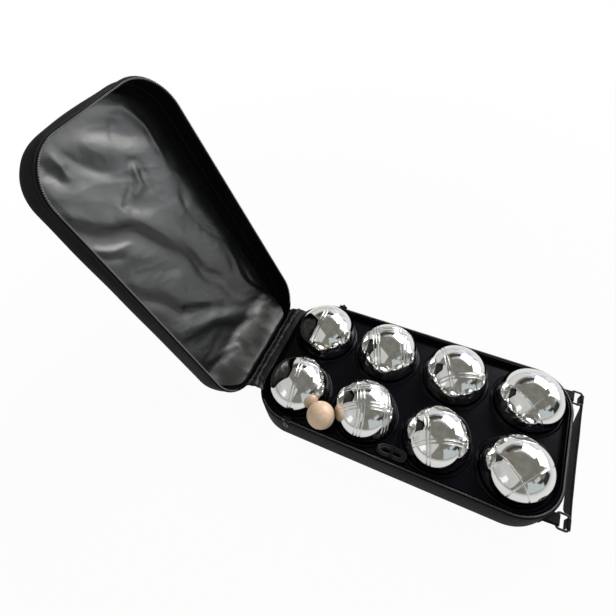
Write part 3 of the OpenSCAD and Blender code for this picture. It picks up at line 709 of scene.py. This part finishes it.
def welt(z, seed):
    """Round piping, puckered by its seam and left out where the hinge strip is sewn on."""
    bm = swept(circle_profile(WALL_T - PIPING_R, z, PIPING_R, 10), "round", 1.6)
    for v in bm.verts:
        run, out = along_case(v.co)
        pucker = out * 0.06 * MM * math.sin(run / (3.1 * MM) * 2 * math.pi)
        v.co += pucker + Vector((0, 0, 0.18 * MM)) * wander(v.co, 30 * MM, seed)
    middles = {face: face.calc_center_median() for face in bm.faces}
    inside = [f for f, p in middles.items() if p.x < -CORNER_X - 20 * MM and abs(p.y) < CORNER_Y]
    bmesh.ops.delete(bm, geom=inside, context="FACES")
    close_ends(bm)
    return bm


piece("base_piping_welt", welt(WALL_TOP + PIPING_R, 3), "base", PIPING, ["base_piping"])


TAPE_LOW = 29.5 * MM
TAPE_INSET = 1.62 * MM


def band_profile(low, high, t):
    """Section of an upright band of cloth of a thickness t, its upper corners cut."""
    inset = TAPE_INSET
    far = inset + t
    e = 0.2 * MM
    return [(inset, low), (inset, high - e), (inset + e, high), (far - e, high), (far, high - e), (far, low)]


def tape(low, high):
    return swept(band_profile(low, high, 0.7 * MM), "zip", 1.4)


def hinge_band(low, high):
    return swept(band_profile(low, high, 1.2 * MM), "hinge", 1.6)


bm = tape(TAPE_LOW, BASE_H - TEETH_H)
piece("base_tape_woven", bm, "base", TAPE, ["base_zip_tape"])


def teeth(z, shift):
    """Zip teeth, one by one, along the zip's run; shift moves them by a share of their pitch."""
    inset = 1.95 * MM
    narrow = 1 - inset / CORNER_R
    places = []
    run = -ARC / 2
    for length in (ARC / 2, LONG, ARC, SHORT, ARC, LONG, ARC / 2):
        straight = length in (LONG, SHORT)
        count = round(length * (1 if straight else narrow) / TEETH_PITCH)
        for k in range(count):
            place, a = point_at((run + length * (k + shift) / count) % LAP, inset)
            place.z = z
            places.append(Matrix.Translation(place) @ Matrix.Rotation(a, 4, "Z"))
        run += length
    return blocks(places, (1.55 * MM, 1.2 * MM, TEETH_H - 0.1 * MM), 0.22 * MM)


piece("base_teeth_row", teeth(BASE_H - TEETH_H / 2, 0.0), "base", TEETH, ["base_zip_teeth"])


def stitches(way, inset, z):
    """A row of short stitches, round the case or along the zip."""
    apart, length = (3.4 * MM, 2.1 * MM) if way == "round" else (2.8 * MM, 1.8 * MM)
    thick = 0.3 * MM
    places = []
    count = int(LAP / apart)
    for k in range(count):
        place, a = point_at(LAP * k / count, inset)
        if way == "zip":
            left_out = place.x < -CORNER_X - CORNER_R * math.sin(math.radians(45))
        else:
            left_out = place.x < -HALF_L + 1.5 * MM and abs(place.y) < CORNER_Y + 2 * MM
        if not left_out:
            place.z = z
            places.append(Matrix.Translation(place) @ Matrix.Rotation(a, 4, "Z"))
    return blocks(places, (thick, length, thick), thick * 0.3)


piece("base_wall_stitching", stitches("round", 0.0, 31.6 * MM), "base", THREAD)
piece("base_tape_stitching", stitches("zip", 1.66 * MM, 35.7 * MM), "base", THREAD)
bm = hinge_band(TAPE_LOW, BASE_H)
piece("hinge_band_cloth", bm, "base", NYLON, ["hinge_band"])


def hinge_fold(low, high, off=0.65 * MM, thick=1.0 * MM):
    """The strip over the hinge side, in soft waves."""

    def place(u, v):
        y = (2 * u - 1) * (CORNER_Y - 0.8 * MM)
        fade = min(1.0, 8 * u, 8 * (1 - u))
        x = -HALF_L - off + 0.2 * MM * fade * math.sin(y / (9 * MM)) * math.sin(v * math.pi)
        return Vector((x, y, low + (high - low) * v))

    bm = sheet(56, 18, place, by_yz)
    thicken(bm, thick)
    nearest = -HALF_L - (off - thick / 2) * 0.2
    for v in bm.verts:
        v.co.x = min(max(v.co.x, -HALF_L - 1.25 * MM), nearest)
    return bm


bm = hinge_fold(AXIS_Z - 15 * MM, AXIS_Z - 0.4 * MM)
piece("hinge_strip_cloth", bm, "base", NYLON, ["hinge_strip"])
roll = [Vector((AXIS_X, -CORNER_Y + 2 * CORNER_Y * k / 84, AXIS_Z)) for k in range(85)]
piece("hinge_roll", tube(roll, 1.15 * MM, 12), "base", PIPING)

dress_node("case_floor", NYLON)
dress_node("tray", TRAY)

# Lid, modelled shut

lid_levels = [LID_WALL_Z + (LEAN_Z - LID_WALL_Z) * k / 6 for k in range(7)]
lid_levels += [LEAN_Z + (PANEL_Z - LEAN_Z) * math.sin(math.radians(90 * k / 9)) for k in range(1, 10)]


def lid_profile(bulge):
    """Section of the lid's wall, its outer face bulging in the middle."""
    outer = []
    for z in lid_levels:
        part = (z - LID_WALL_Z) / (PANEL_Z - LID_WALL_Z)
        outer.append((lean(z) - bulge * math.sin(math.pi * min(1, part)), z))
    return outer + [(lean(z) + WALL_T, z) for z in reversed(lid_levels)]


bm = swept(lid_profile(0.9 * MM), "round")
sag(bm, 1.5 * MM, 60 * MM, 11, LID_WALL_Z, PANEL_Z, 10 * MM, -0.25)
flat_at_hinge(bm, LID_WALL_Z + 9 * MM)
piece("lid_wall_cloth", bm, "lid", NYLON, ["lid_wall"])
piece("lid_piping_welt", welt(LID_WALL_Z - PIPING_R, 13), "lid", PIPING, ["lid_piping"])
bm = tape(MOUTH_Z + TEETH_H, LID_WALL_Z + 1 * MM)
piece("lid_tape_woven", bm, "lid", TAPE, ["lid_zip_tape"])
bm = teeth(MOUTH_Z + TEETH_H / 2, 0.5)
piece("lid_teeth_row", bm, "lid", TEETH, ["lid_zip_teeth"])
bm = stitches("round", -0.25 * MM, LID_WALL_Z + 1.6 * MM)
piece("lid_wall_stitching", bm, "lid", THREAD)
bm = stitches("zip", 2.34 * MM, MOUTH_Z + 2.4 * MM)
piece("lid_tape_stitching", bm, "lid", THREAD)

SEAM_Z = 64.0 * MM
bm = swept(circle_profile(lean(SEAM_Z) + WALL_T + 0.25 * MM, SEAM_Z, 0.5 * MM, 8), "zip", 1.4)
for v in bm.verts:
    v.co.z += 0.9 * MM * wander(v.co, 50 * MM, 15)
piece("lid_inner_seam", bm, "lid", THREAD)

bm = hinge_band(MOUTH_Z, LID_WALL_Z + 1 * MM)
piece("lid_hinge_band_cloth", bm, "lid", NYLON, ["lid_hinge_band"])
bm = hinge_fold(AXIS_Z + 1.5 * MM, LID_WALL_Z + 9 * MM, 0.8 * MM, 0.7 * MM)
piece("lid_hinge_strip_cloth", bm, "lid", NYLON, ["lid_hinge_strip"])


def inside_outline(u, v, inset):
    """Maps a square to the case's rounded outline."""
    hx, hy, r = HALF_L - inset, HALF_W - inset, CORNER_R - inset
    s = 2 * u - 1
    x = hx * (0.5 * math.sin(math.pi / 2 * s) + 0.5 * s)
    over = abs(x) - (hx - r)
    half = hy if over <= 0 else hy - r + math.sqrt(max(0.0, r * r - over * over))
    return x, half * (2 * v - 1)


def panel_place(u, v):
    """The lid's panel: puffed in the middle, with slow waves."""
    x, y = inside_outline(u, v, lean(PANEL_Z))
    rim = min(1.0, 7 * min(u, 1 - u, v, 1 - v))
    puff = (1 - (2 * u - 1) ** 2) * (1 - (2 * v - 1) ** 2)
    wave = wander(Vector((x, y, 0)), 60 * MM, 21)
    return Vector((x, y, PANEL_Z + 2.2 * MM + (1.8 * puff + 0.5 * wave * rim) * MM))


bm = sheet(120, 64, panel_place, by_xy)
thicken(bm, 1.0 * MM)
piece("lid_panel_cloth", bm, "lid", NYLON, ["lid_panel"])

# Lining

# Folds of the lining on the shut lid, in millimetres: points along the fold, its half width,
# and its height toward the inside
LINING_FOLDS = [
    ([(94, -3), (83, -17), (71, -19), (52, -9), (31, 2), (3, 4), (-23, 10), (-57, 15), (-89, 26),
      (-116, 35)], 7, 3.6),
    ([(104, -76), (81, -56), (55, -28), (25, -13), (-8, -3), (-42, 0), (-76, 2), (-116, 29)], 9, -3.4),
    ([(116, -75), (96, -58), (76, -35), (71, -19)], 6, 2.4),
    ([(93, -77), (74, -72), (56, -55), (46, -37)], 6, 2.0),
    ([(72, -77), (55, -69), (40, -51)], 6, -2.0),
    ([(22, -66), (-2, -52), (-22, -32), (-32, -18)], 12, 2.2),
    ([(6, -74), (-21, -58), (-48, -38), (-50, -26)], 7, -2.8),
    ([(-64, -67), (-70, -46), (-89, -26), (-106, -1), (-120, 25)], 8, 3.0),
    ([(-117, -39), (-116, -11), (-141, 18), (-165, 50)], 6, -2.8),
    ([(-128, -62), (-134, -36), (-148, -8)], 7, 2.4),
    ([(-53, 61), (-87, 57), (-113, 62), (-152, 77)], 5, 2.5),
    ([(-87, 69), (-110, 71), (-147, 78)], 4, -1.9),
    ([(114, 16), (105, 28), (88, 32)], 7, -1.6),
    ([(105, 12), (91, 2), (85, -12)], 7, -1.3),
    ([(95, 30), (86, 25), (73, 23)], 6, -1.0),
    ([(101, 21), (87, 16), (82, -1)], 5, 1.8),
    ([(154, -31), (141, -24), (125, -14), (109, -1)], 6, -2.2),
    ([(159, -42), (141, -39), (126, -40)], 5, 2.0),
    ([(160, -54), (144, -54), (128, -47)], 5, -2.2),
    ([(159, 37), (149, 53), (124, 63), (107, 61), (85, 63)], 6, 2.6),
    ([(148, 38), (139, 29), (126, 43), (112, 66)], 6, -2.3),
    ([(40, 30), (3, 14), (-30, 22), (-53, 46), (-70, 40)], 7, 2.2),
    ([(54, 62), (24, 52), (-6, 52), (-30, 64)], 6, -1.7),
    ([(4, -30), (-16, -12), (-32, -4)], 5, -1.2),
    ([(-140, -50), (-150, -20), (-156, 10)], 5, -1.9),
]
# Long soft steps in the lining: middle line, half width and height of the step
LINING_STEPS = [
    ([(109, -73), (85, -51), (56, -22), (30, -2), (-1, 11), (-38, 23), (-76, 30), (-126, 52)], 11, 2.5),
    ([(-8, -55), (-40, -37), (-79, -1), (-125, 31)], 6, 1.3),
    ([(-81, -54), (-99, -21), (-138, 19), (-177, 59)], 7, 1.4),
    ([(157, -17), (137, -2), (116, 21)], 9, 0.8),
]
LINING_BACK = 80.4 * MM
LINING_DEPTH = 5.2


def nearest_on(points, x, y):
    """Signed distance to a line of points, and how far along it from the nearer end, as a share."""
    best, side, run = 1e9, 0.0, 0.0
    for k, ((ax, ay), (bx, by)) in enumerate(zip(points, points[1:])):
        dx, dy = bx - ax, by - ay
        t = min(1.0, max(0.0, ((x - ax) * dx + (y - ay) * dy) / (dx * dx + dy * dy)))
        d = math.hypot(x - ax - t * dx, y - ay - t * dy)
        if d < best:
            best = d
            side = math.copysign(d, dx * (y - ay) - dy * (x - ax))
            run = (k + t) / (len(points) - 1)
    return side, min(run, 1 - run)


def fold_height(x, y):
    """Height of the folds at a place, toward the inside of the lid, in millimetres."""
    total = 0.0
    for points, width, height in LINING_FOLDS:
        side, inward = nearest_on(points, x, y)
        part = abs(side) / width
        if part < 3:
            total += 0.6 * height * min(1.0, 4 * inward + 0.35) * math.exp(-(part ** 1.6))
    for points, width, height in LINING_STEPS:
        side, inward = nearest_on(points, x, y)
        part = side / width
        total -= height * min(1.0, 3 * inward + 0.15) * 1.65 * part * math.exp(-0.5 * part * part)
    return total


LINING_TURN = 0.17  # share of the lining's length that turns up toward the hinge
LINING_RISE = 30.0 * MM


def lining_place(u, v):
    """The lining: folded over the panel, turned up and crumpled along the hinge end."""
    turn = smooth_step(LINING_TURN, 0.0, u)
    x, y = inside_outline(u, v, lean(LINING_Z) + WALL_T + 0.3 * MM)
    wide_x, wide_y = inside_outline(u, v, WALL_T + 0.9 * MM)
    x, y = x + (wide_x - x) * turn, y + (wide_y - y) * turn
    mx, my = x / MM, y / MM
    p = Vector((x, y, 0))
    warp = Vector((wander(p, 45 * MM, 31), wander(p, 45 * MM, 32), 0)) * 5
    h = fold_height(mx + warp.x, my + warp.y) * (1 - 0.7 * turn)
    slanted = Vector((x * 0.55 - y * 0.83, (x * 0.83 + y * 0.55) * 2.6, 0))
    h += 1.3 * wander(slanted, 70 * MM, 33)
    ridge = 1 - abs(wander(slanted + warp * MM, 30 * MM, 34))
    h += 0.25 * ridge ** 2
    h += 0.05 * wander(p, 9 * MM, 35)
    rim = min(1.0, 9 * min(1 - u, v, 1 - v) + 2 * max(0.0, turn))
    h = LINING_DEPTH * 0.5 * (1 + math.tanh((h - 0.2) / (LINING_DEPTH * 0.52)))
    h = h * rim + (1 - rim) * 2.0
    gathers = wander(Vector((x * 1.3, y * 0.9, 0)), 30 * MM, 36) + 0.2 * wander(p, 14 * MM, 37)
    h += turn * (1 - turn ** 4) * 3.0 * gathers
    return Vector((x, y, LINING_BACK - h * MM - LINING_RISE * turn ** 1.4))


bm = sheet(250, 130, lining_place, by_xy)
lining = piece("lid_lining_vinyl", bm, "lid", VINYL, ["lid_lining"])
thick = lining.modifiers.new("thickness", "SOLIDIFY")
thick.thickness = 0.35 * MM
thick.offset = 0

# Gusset at the hinge


def rim_point(v, z, inset):
    """Point round the hinge end, v from 0 at the back to 1 at the front."""
    quarter = ARC / 3
    total = SHORT + 2 * quarter
    run = v * total
    if run < quarter:
        return station(150 + math.degrees(run / CORNER_R), -1, 1, inset, z)
    if run < quarter + SHORT:
        return Vector((-HALF_L + inset, CORNER_Y - (run - quarter), z))
    return station(180 + math.degrees((run - quarter - SHORT) / CORNER_R), -1, -1, inset, z)


WELTS = ((0.36, "low"), (0.68, "high"))  # shares of the way from the base to the lid


def gusset_place(u, v, lift=0.0):
    """The gusset: fans about the hinge line from the base's rim to the lid's."""
    axis = Vector((AXIS_X, 0, AXIS_Z))
    low = rim_point(u, BASE_H - 1.0 * MM, 3.2 * MM)
    arm = low.lerp(rim_point(u, MOUTH_Z + 1.0 * MM, 3.2 * MM), v) - axis
    belly = math.sin(math.pi * v)
    arm.x *= 1 - 0.2 * belly
    arm.z *= 1 - 0.2 * belly
    arm.rotate(Quaternion().slerp(OPEN.to_quaternion(), v))
    run = u * (SHORT + ARC)
    outward = Vector((arm.x, 0, arm.z)).normalized()
    crumple = wander(Vector((run * 1.5, v * 14 * MM, 0)), 11 * MM, 51)
    crumple += 0.6 * wander(Vector((run * 2, v * 24 * MM, 0)), 5 * MM, 52)
    sway = 0.03 * wander(Vector((run, 0, 0)), 30 * MM, 53)
    welts = sum(math.exp(-(((v - at - sway) / 0.05) ** 2)) for at, _ in WELTS)
    pucker = 0.25 * math.sin(run / (1.4 * MM))
    return axis + arm + outward * (belly * 1.1 * MM * crumple + welts * (1.2 + pucker) * MM + lift)


bm = sheet(170, 44, gusset_place, by_yz)
thicken(bm, 0.5 * MM)
BASE_SIDE = (AXIS_X + 4.4 * MM, 0, AXIS_Z + 14.7 * MM)
LID_SIDE = (AXIS_X - 18.1 * MM, 0, AXIS_Z + 5.7 * MM)
GUSSET_BLEND = ("base", "lid", BASE_SIDE, LID_SIDE)
WELT_STEPS = 160
piece("hinge_gusset", bm, None, LIT_GUSSET, blend=GUSSET_BLEND)
for at, label in WELTS:
    line = [gusset_place(0.015 + 0.97 * k / WELT_STEPS, at, 0.5 * MM) for k in range(WELT_STEPS + 1)]
    piece(f"hinge_welt_{label}", tube(line, 0.95 * MM, 10), None, LIT_WELT, blend=GUSSET_BLEND)

# Handle


def wall_x(y):
    """Outer face of the base's wall on the handle side, at a distance from the middle."""
    over = abs(y) - CORNER_Y
    return HALF_L if over <= 0 else CORNER_X + math.sqrt(max(0.0, CORNER_R ** 2 - over * over))


LOOP_R = 2.1 * MM


def webbing_strip(side, half, nu, nv, line, length, thickness):
    """Strip of webbing over a ring's wire; line(u, y) gives the x and z of its face."""

    def place(u, v):
        y = side * RING_Y + (2 * v - 1) * half
        x, z = line(u, y)
        return Vector((x, y, z))

    bm = sheet(nu, nv, place, lambda p, u, v: (u * length, v * 2 * half))
    thicken(bm, thickness)
    return bm


def tab_line(u, y):
    """Up the wall, round the ring's inner wire and back to the wall."""
    x0 = wall_x(y) + 0.9 * MM
    leave = 24.5 * MM
    if u < 0.38:
        return x0, 14 * MM + u / 0.38 * 10.5 * MM
    if u < 0.55:
        t = (u - 0.38) / 0.17
        return x0 + (HANDLE_X - x0) * t, leave + (RING_Z - LOOP_R - leave) * smooth_step(0, 1, t)
    if u < 0.85:
        a = -math.pi / 2 + math.pi * (u - 0.55) / 0.3
        return HANDLE_X + LOOP_R * math.cos(a), RING_Z + LOOP_R * math.sin(a)
    t = (u - 0.85) / 0.15
    return HANDLE_X + (wall_x(y) + 0.3 * MM - HANDLE_X) * t, RING_Z + LOOP_R - 0.3 * MM * t


def sleeve_line(u, y):
    """Up the inside of the strap, round the ring's outer wire and down its outside."""
    foot = 20 * MM
    if u < 0.25:
        return STRAP_X - LOOP_R, foot + (RING_Z - foot) * u / 0.25
    if u < 0.75:
        a = math.pi - math.pi * (u - 0.25) / 0.5
        return STRAP_X + LOOP_R * math.cos(a), RING_Z + LOOP_R * math.sin(a)
    return STRAP_X + LOOP_R, RING_Z - (RING_Z - foot) * (u - 0.75) / 0.25


def box_stitch(centre, across, out, wide, high):
    """Stitches round an upright box and over its diagonals."""
    pitch = 1.9 * MM
    a, b = across * wide / 2, Vector((0, 0, 1)) * high / 2
    ends = [centre - a - b, centre + a - b, centre + a + b, centre - a + b]
    places = []
    for first, last in ((0, 1), (1, 2), (2, 3), (3, 0), (0, 2), (1, 3)):
        d = ends[last] - ends[first]
        x = d.normalized()
        turn = Matrix((x, out.cross(x), out)).transposed().to_4x4()
        count = max(2, int(d.length / pitch))
        for k in range(count):
            places.append(Matrix.Translation(ends[first] + d * (k + 0.5) / count) @ turn)
    return blocks(places, (pitch * 0.66, 0.34 * MM, 0.3 * MM), 0.09 * MM)


for side, label in ((-1, "front"), (1, "back")):
    bm = webbing_strip(side, 5.5 * MM, 64, 12, tab_line, 34 * MM, 0.9 * MM)
    piece(f"tab_{label}_webbing", bm, "base", WEBBING, [f"tab_{label}"])
    y = side * RING_Y
    a = math.asin((RING_Y - CORNER_Y) / CORNER_R)
    out = Vector((math.cos(a), side * math.sin(a), 0))
    centre = Vector((wall_x(y), y, 18.6 * MM)) + out * 1.25 * MM
    bm = box_stitch(centre, Vector((-out.y, out.x, 0)), out, 8 * MM, 6.5 * MM)
    piece(f"tab_{label}_stitching", bm, "base", THREAD)


STRAP_LOW, STRAP_TOP, STRAP_HALF = 6 * MM, RING_Z - 2.6 * MM, 77 * MM


def strap_place(u, v):
    """The strap's face: its lower edge gathers toward the rings, its middle is softly cupped."""
    y = (2 * u - 1) * STRAP_HALF
    low = STRAP_LOW + 16.4 * MM * smooth_step(50 * MM, 67 * MM, abs(y))
    z = low + (STRAP_TOP - low) * v
    wave = 0.45 * MM * wander(Vector((y, z, 0)), 34 * MM, 61)
    cup = 0.4 * MM * math.cos(math.pi * (v - 0.5)) * (1 - (2 * u - 1) ** 8)
    return Vector((STRAP_X + 0.55 * MM + cup + wave, y, z))


bm = sheet(150, 24, strap_place, by_yz)
thicken(bm, 2.0 * MM)
piece("handle_webbing", bm, "handle", WEBBING, ["handle_strap"])
for side, label in ((-1, "front"), (1, "back")):
    bm = webbing_strip(side, 5.0 * MM, 48, 10, sleeve_line, 23 * MM, 0.8 * MM)
    piece(f"strap_sleeve_{label}", bm, "handle", WEBBING)
    dress_node(f"ring_{label}", RING)
    dress_node(f"slider_{label}", SLIDER)
    dress_node(f"pull_{label}", PULL)

STRAP_STITCHES = 46
places = []
for v in (0.1, 0.9):
    for k in range(STRAP_STITCHES):
        p = strap_place((k + 0.5) / STRAP_STITCHES * 0.94 + 0.03, v)
        places.append(Matrix.Translation((p.x + 1.05 * MM, p.y, p.z)))
bm = blocks(places, (0.3 * MM, 2.1 * MM, 0.36 * MM), 0.09 * MM)
piece("strap_stitching", bm, "handle", THREAD)

# Boules and jack

for n in range(1, 9):
    for part in ("upper", "lower"):
        dress_node(f"boule_{n}_{part}", CHROME)
    dress_node(f"boule_{n}_weld", WELD)

# Groove bands of each boule: azimuth and tilt of the first axis, grooves in a band, and the
# offsets of the bands on the two axes, as shares of the radius
GROOVES = [
    (9, -9, 2, [-0.1], []),
    (21, -12, 3, [-0.32, 0.5], [0.24, -0.38]),
    (20, 3, 2, [-0.34], [0.42]),
    (51, 4, 1, [-0.42], [0.46]),
    (1, -17, 2, [-0.35], []),
    (21, 4, 3, [-0.36, 0.5], [-0.4]),
    (27, 4, 2, [-0.32], [0.46]),
    (54, 7, 1, [-0.42], [0.34]),
]
GROOVE_W, GROOVE_DEPTH, GROOVE_PITCH = 1.2 * MM, 0.5 * MM, 3.4 * MM
# Half of a groove's section, in millimetres: distance from its middle, height above the ball
GROOVE_HALF = [(0.95, -0.02), (0.86, 0.05), (0.72, 0.06), (0.6, -0.02), (0.42, -0.26), (0.2, -0.44)]
GROOVE_SECTION = [(-along, high) for along, high in GROOVE_HALF] + [(0, -0.48)] + GROOVE_HALF[::-1]


def groove_ring(bm, centre, axis, offset):
    """A rolled groove: a closed ring with a rounded hollow and low lips."""
    section = []
    for along, high in GROOVE_SECTION:
        place = offset + along * MM
        section.append(Vector((math.sqrt(BOULE_R ** 2 - place ** 2) + high * MM, 0, place)))
    floor_r = math.sqrt((BOULE_R - GROOVE_DEPTH) ** 2 - offset ** 2)
    for t in (0.46, -0.46):
        section.append(Vector((floor_r - 0.05 * MM, 0, offset + GROOVE_W * t)))
    ring = bmesh.new()
    turn_round(ring, section, 160)
    turn = Vector((0, 0, 1)).rotation_difference(axis).to_matrix().to_4x4()
    ring.transform(Matrix.Translation(centre) @ turn)
    mesh = bpy.data.meshes.new("groove")
    ring.to_mesh(mesh)
    ring.free()
    bm.from_mesh(mesh)
    bpy.data.meshes.remove(mesh)


for n, (azimuth, tilt, count, first_shares, second_shares) in enumerate(GROOVES):
    a, b = math.radians(azimuth), math.radians(tilt)
    centre = Vector(((n % 4 - 1.5) * BOULE_PITCH, (n // 4 - 0.5) * BOULE_PITCH, BOULE_Z))
    first = Vector((math.cos(b) * math.cos(a), math.cos(b) * math.sin(a), math.sin(b)))
    second = Vector((math.sin(a), -math.cos(a), 0))
    bm = bmesh.new()
    for axis, shares in ((first, first_shares), (second, second_shares)):
        for share in shares:
            for k in range(count):
                groove_ring(bm, centre, axis, share * BOULE_R + (k - (count - 1) / 2) * GROOVE_PITCH)
    piece(f"boule_{n + 1}_grooves", bm, f"boule_{n + 1}", GROOVE)

bm = bmesh.new()
outline = []
for k in range(49):
    a = math.pi * k / 48
    r = JACK_R * (1 - 0.004 * math.exp(-((k - 2.5) ** 2) / 2.0) - 0.004 * math.exp(-((k - 45.5) ** 2) / 2.0))
    outline.append(Vector((r * math.sin(a), 0, r * math.cos(a))))
turn_round(bm, outline, 96, closed=False)
bm.transform(Matrix.Translation(JACK_AT) @ Matrix.Rotation(math.radians(38), 4, Vector((0.4, 0.7, 0.1))))
piece("jack_turned", bm, "jack", WOOD, ["jack"])

# Stage and light


def pale_stage():
    """The floor: it shows white, and keeps a soft shadow."""
    bm = bmesh.new()
    bmesh.ops.create_grid(bm, x_segments=2, y_segments=2, size=1.3)
    mesh = bpy.data.meshes.new("floor")
    bm.to_mesh(mesh)
    bm.free()
    floor = bpy.data.objects.new("floor", mesh)
    floor.location.z = -0.2 * MM
    bpy.context.scene.collection.objects.link(floor)
    f = Finish("floor", (0.56, 0.57, 0.56), 0.9, specular=0.1)
    length = f.tree.nodes.new("ShaderNodeVectorMath")
    length.operation = "LENGTH"
    away = f.fill(length, {0: f.object})["Value"]
    ray = f.add("ShaderNodeLightPath", {})
    seen = f.math("MULTIPLY", ray["Is Camera Ray"], f.spread(away, 0.96, 1.0, 0.45, 0.95))
    gloss = f.math("MULTIPLY", ray["Is Glossy Ray"], f.spread(away, 0.66, 0.03, 0.3, 0.7))
    glow = f.add("ShaderNodeEmission", {"Strength": 1.0})[0]
    share = f.math("MAXIMUM", seen, gloss)
    mixed = f.add("ShaderNodeMixShader", {0: share, 1: f.shader.outputs[0], 2: glow})[0]
    f.fill(f.tree.nodes["Material Output"], {"Surface": mixed})
    mesh.materials.append(f.material)


pale_stage()


def area_lamp(name, place, target, size, power, color):
    """A rectangular lamp at a place, turned to a target."""
    data = bpy.data.lights.new(name, "AREA")
    data.shape = "RECTANGLE"
    data.size, data.size_y = size
    data.energy = power
    data.color = color
    lamp = bpy.data.objects.new(name, data)
    direction = Vector(target) - Vector(place)
    lamp.matrix_world = Matrix.Translation(place) @ direction.to_track_quat("-Z", "Y").to_matrix().to_4x4()
    bpy.context.scene.collection.objects.link(lamp)


area_lamp("window", (1.45, 1.15, 0.7), (-0.05, 0, 0.08), (1.2, 1.2), 8, (0.99, 1.0, 1.0))
area_lamp("high window", (0.62, 1.42, 1.1), (-0.02, 0, 0.06), (1.2, 1.0), 31, (1.0, 0.99, 0.97))
area_lamp("side window", (-1.0, -1.15, 0.95), (-0.1, 0, 0.1), (3.0, 2.2), 8.5, (0.97, 0.99, 1.0))


def make_panel_group():
    """Soft-edged rectangle on the room's walls, by azimuth and elevation in radians."""
    labels = ("Azimuth", "Elevation", "At azimuth", "At elevation", "Half width", "Half height", "Softness")
    g, given, result = node_group("room panel", dict.fromkeys(labels, 0.0), ("Mask",))
    across = g.math("ABSOLUTE", g.math("SUBTRACT", given["Azimuth"], given["At azimuth"]))
    across = g.math("PINGPONG", across, math.pi)
    upright = g.math("ABSOLUTE", g.math("SUBTRACT", given["Elevation"], given["At elevation"]))
    sides = []
    for away, half in ((across, given["Half width"]), (upright, given["Half height"])):
        sides.append(g.clamp(g.math("DIVIDE", g.math("SUBTRACT", half, away), given["Softness"])))
    g.fill(result, {"Mask": g.math("MULTIPLY", *sides)})
    return g.tree


# Panels on the room's walls: azimuth and elevation, half width and height, softness, colour;
# a panel without a colour takes that of the bright window
ROOM_PANELS = [
    ((125, 9), (42, 16), 5, (0.8, 0.8, 0.78)),
    ((80, 20), (32, 38), 12, None),
    ((33, 4), (25, 20), 6, (0.74, 0.78, 0.84)),
    ((2, 3), (17, 15), 5, (0.04, 0.038, 0.036)),
    ((-34, 8), (24, 26), 3, (0.6, 0.66, 0.66)),
    ((116, 36), (34, 8), 3, (0.08, 0.065, 0.055)),
    ((100, 50), (30, 3), 2, (0.75, 0.75, 0.72)),
    ((-16, 17), (9, 7), 3, (0.05, 0.05, 0.045)),
    ((-178, 22), (12, 9), 3, (0.03, 0.025, 0.03)),
    ((-150, 8), (14, 12), 4, (0.14, 0.13, 0.12)),
    ((-122, 12), (8, 14), 3, (0.8, 0.82, 0.8)),
    ((-36, 34), (3, 9), 2, (0.16, 0.16, 0.14)),
]
SMALL_PANEL = 15  # half width below which a panel's edges are frayed


def room_world():
    """A plain room for light and reflections, white where the camera looks past the object."""
    world = bpy.data.worlds.new("room")
    bpy.context.scene.world = world
    world.use_nodes = True
    w = Nodes(world.node_tree)
    panel = make_panel_group()
    place = w.add("ShaderNodeTexCoord", {})["Generated"]
    parts = w.add("ShaderNodeSeparateXYZ", {0: place})
    azimuth = w.math("ARCTAN2", parts[1], parts[0])
    elevation = w.math("ARCSINE", parts[2])
    color = w.mix(w.noise(place, 2.4, 2.0, 0.5), (0.12, 0.117, 0.1), (0.35, 0.34, 0.3))
    streaks = w.spread(w.noise(place, 5.0, 2.0, 0.5), 0.0, 1.0, 0.35, 0.65)
    bright = w.mix(streaks, (0.5, 0.52, 0.56), (1.15, 1.2, 1.3))
    frayed = w.math("MULTIPLY", w.math("SUBTRACT", w.noise(place, 9.0, 2.0, 0.5), 0.5), 0.45)
    rough_azimuth = w.math("ADD", azimuth, frayed)
    for at, half, softness, tint in ROOM_PANELS:
        inputs = {"Azimuth": rough_azimuth if half[0] < SMALL_PANEL else azimuth, "Elevation": elevation}
        degrees = {"At azimuth": at[0], "At elevation": at[1], "Half width": half[0], "Half height": half[1],
                   "Softness": softness}
        inputs.update({label: math.radians(value) for label, value in degrees.items()})
        color = w.mix(w.group(panel, inputs)["Mask"], color, tint or bright)
    room = w.fill(w.tree.nodes["Background"], {"Color": color, "Strength": 0.9})[0]
    white = w.add("ShaderNodeBackground", {"Color": (1, 1, 1, 1)})[0]
    ray = w.add("ShaderNodeLightPath", {})
    mixed = w.add("ShaderNodeMixShader", {0: ray["Is Camera Ray"], 1: room, 2: white})[0]
    w.fill(w.tree.nodes["World Output"], {"Surface": mixed})


room_world()
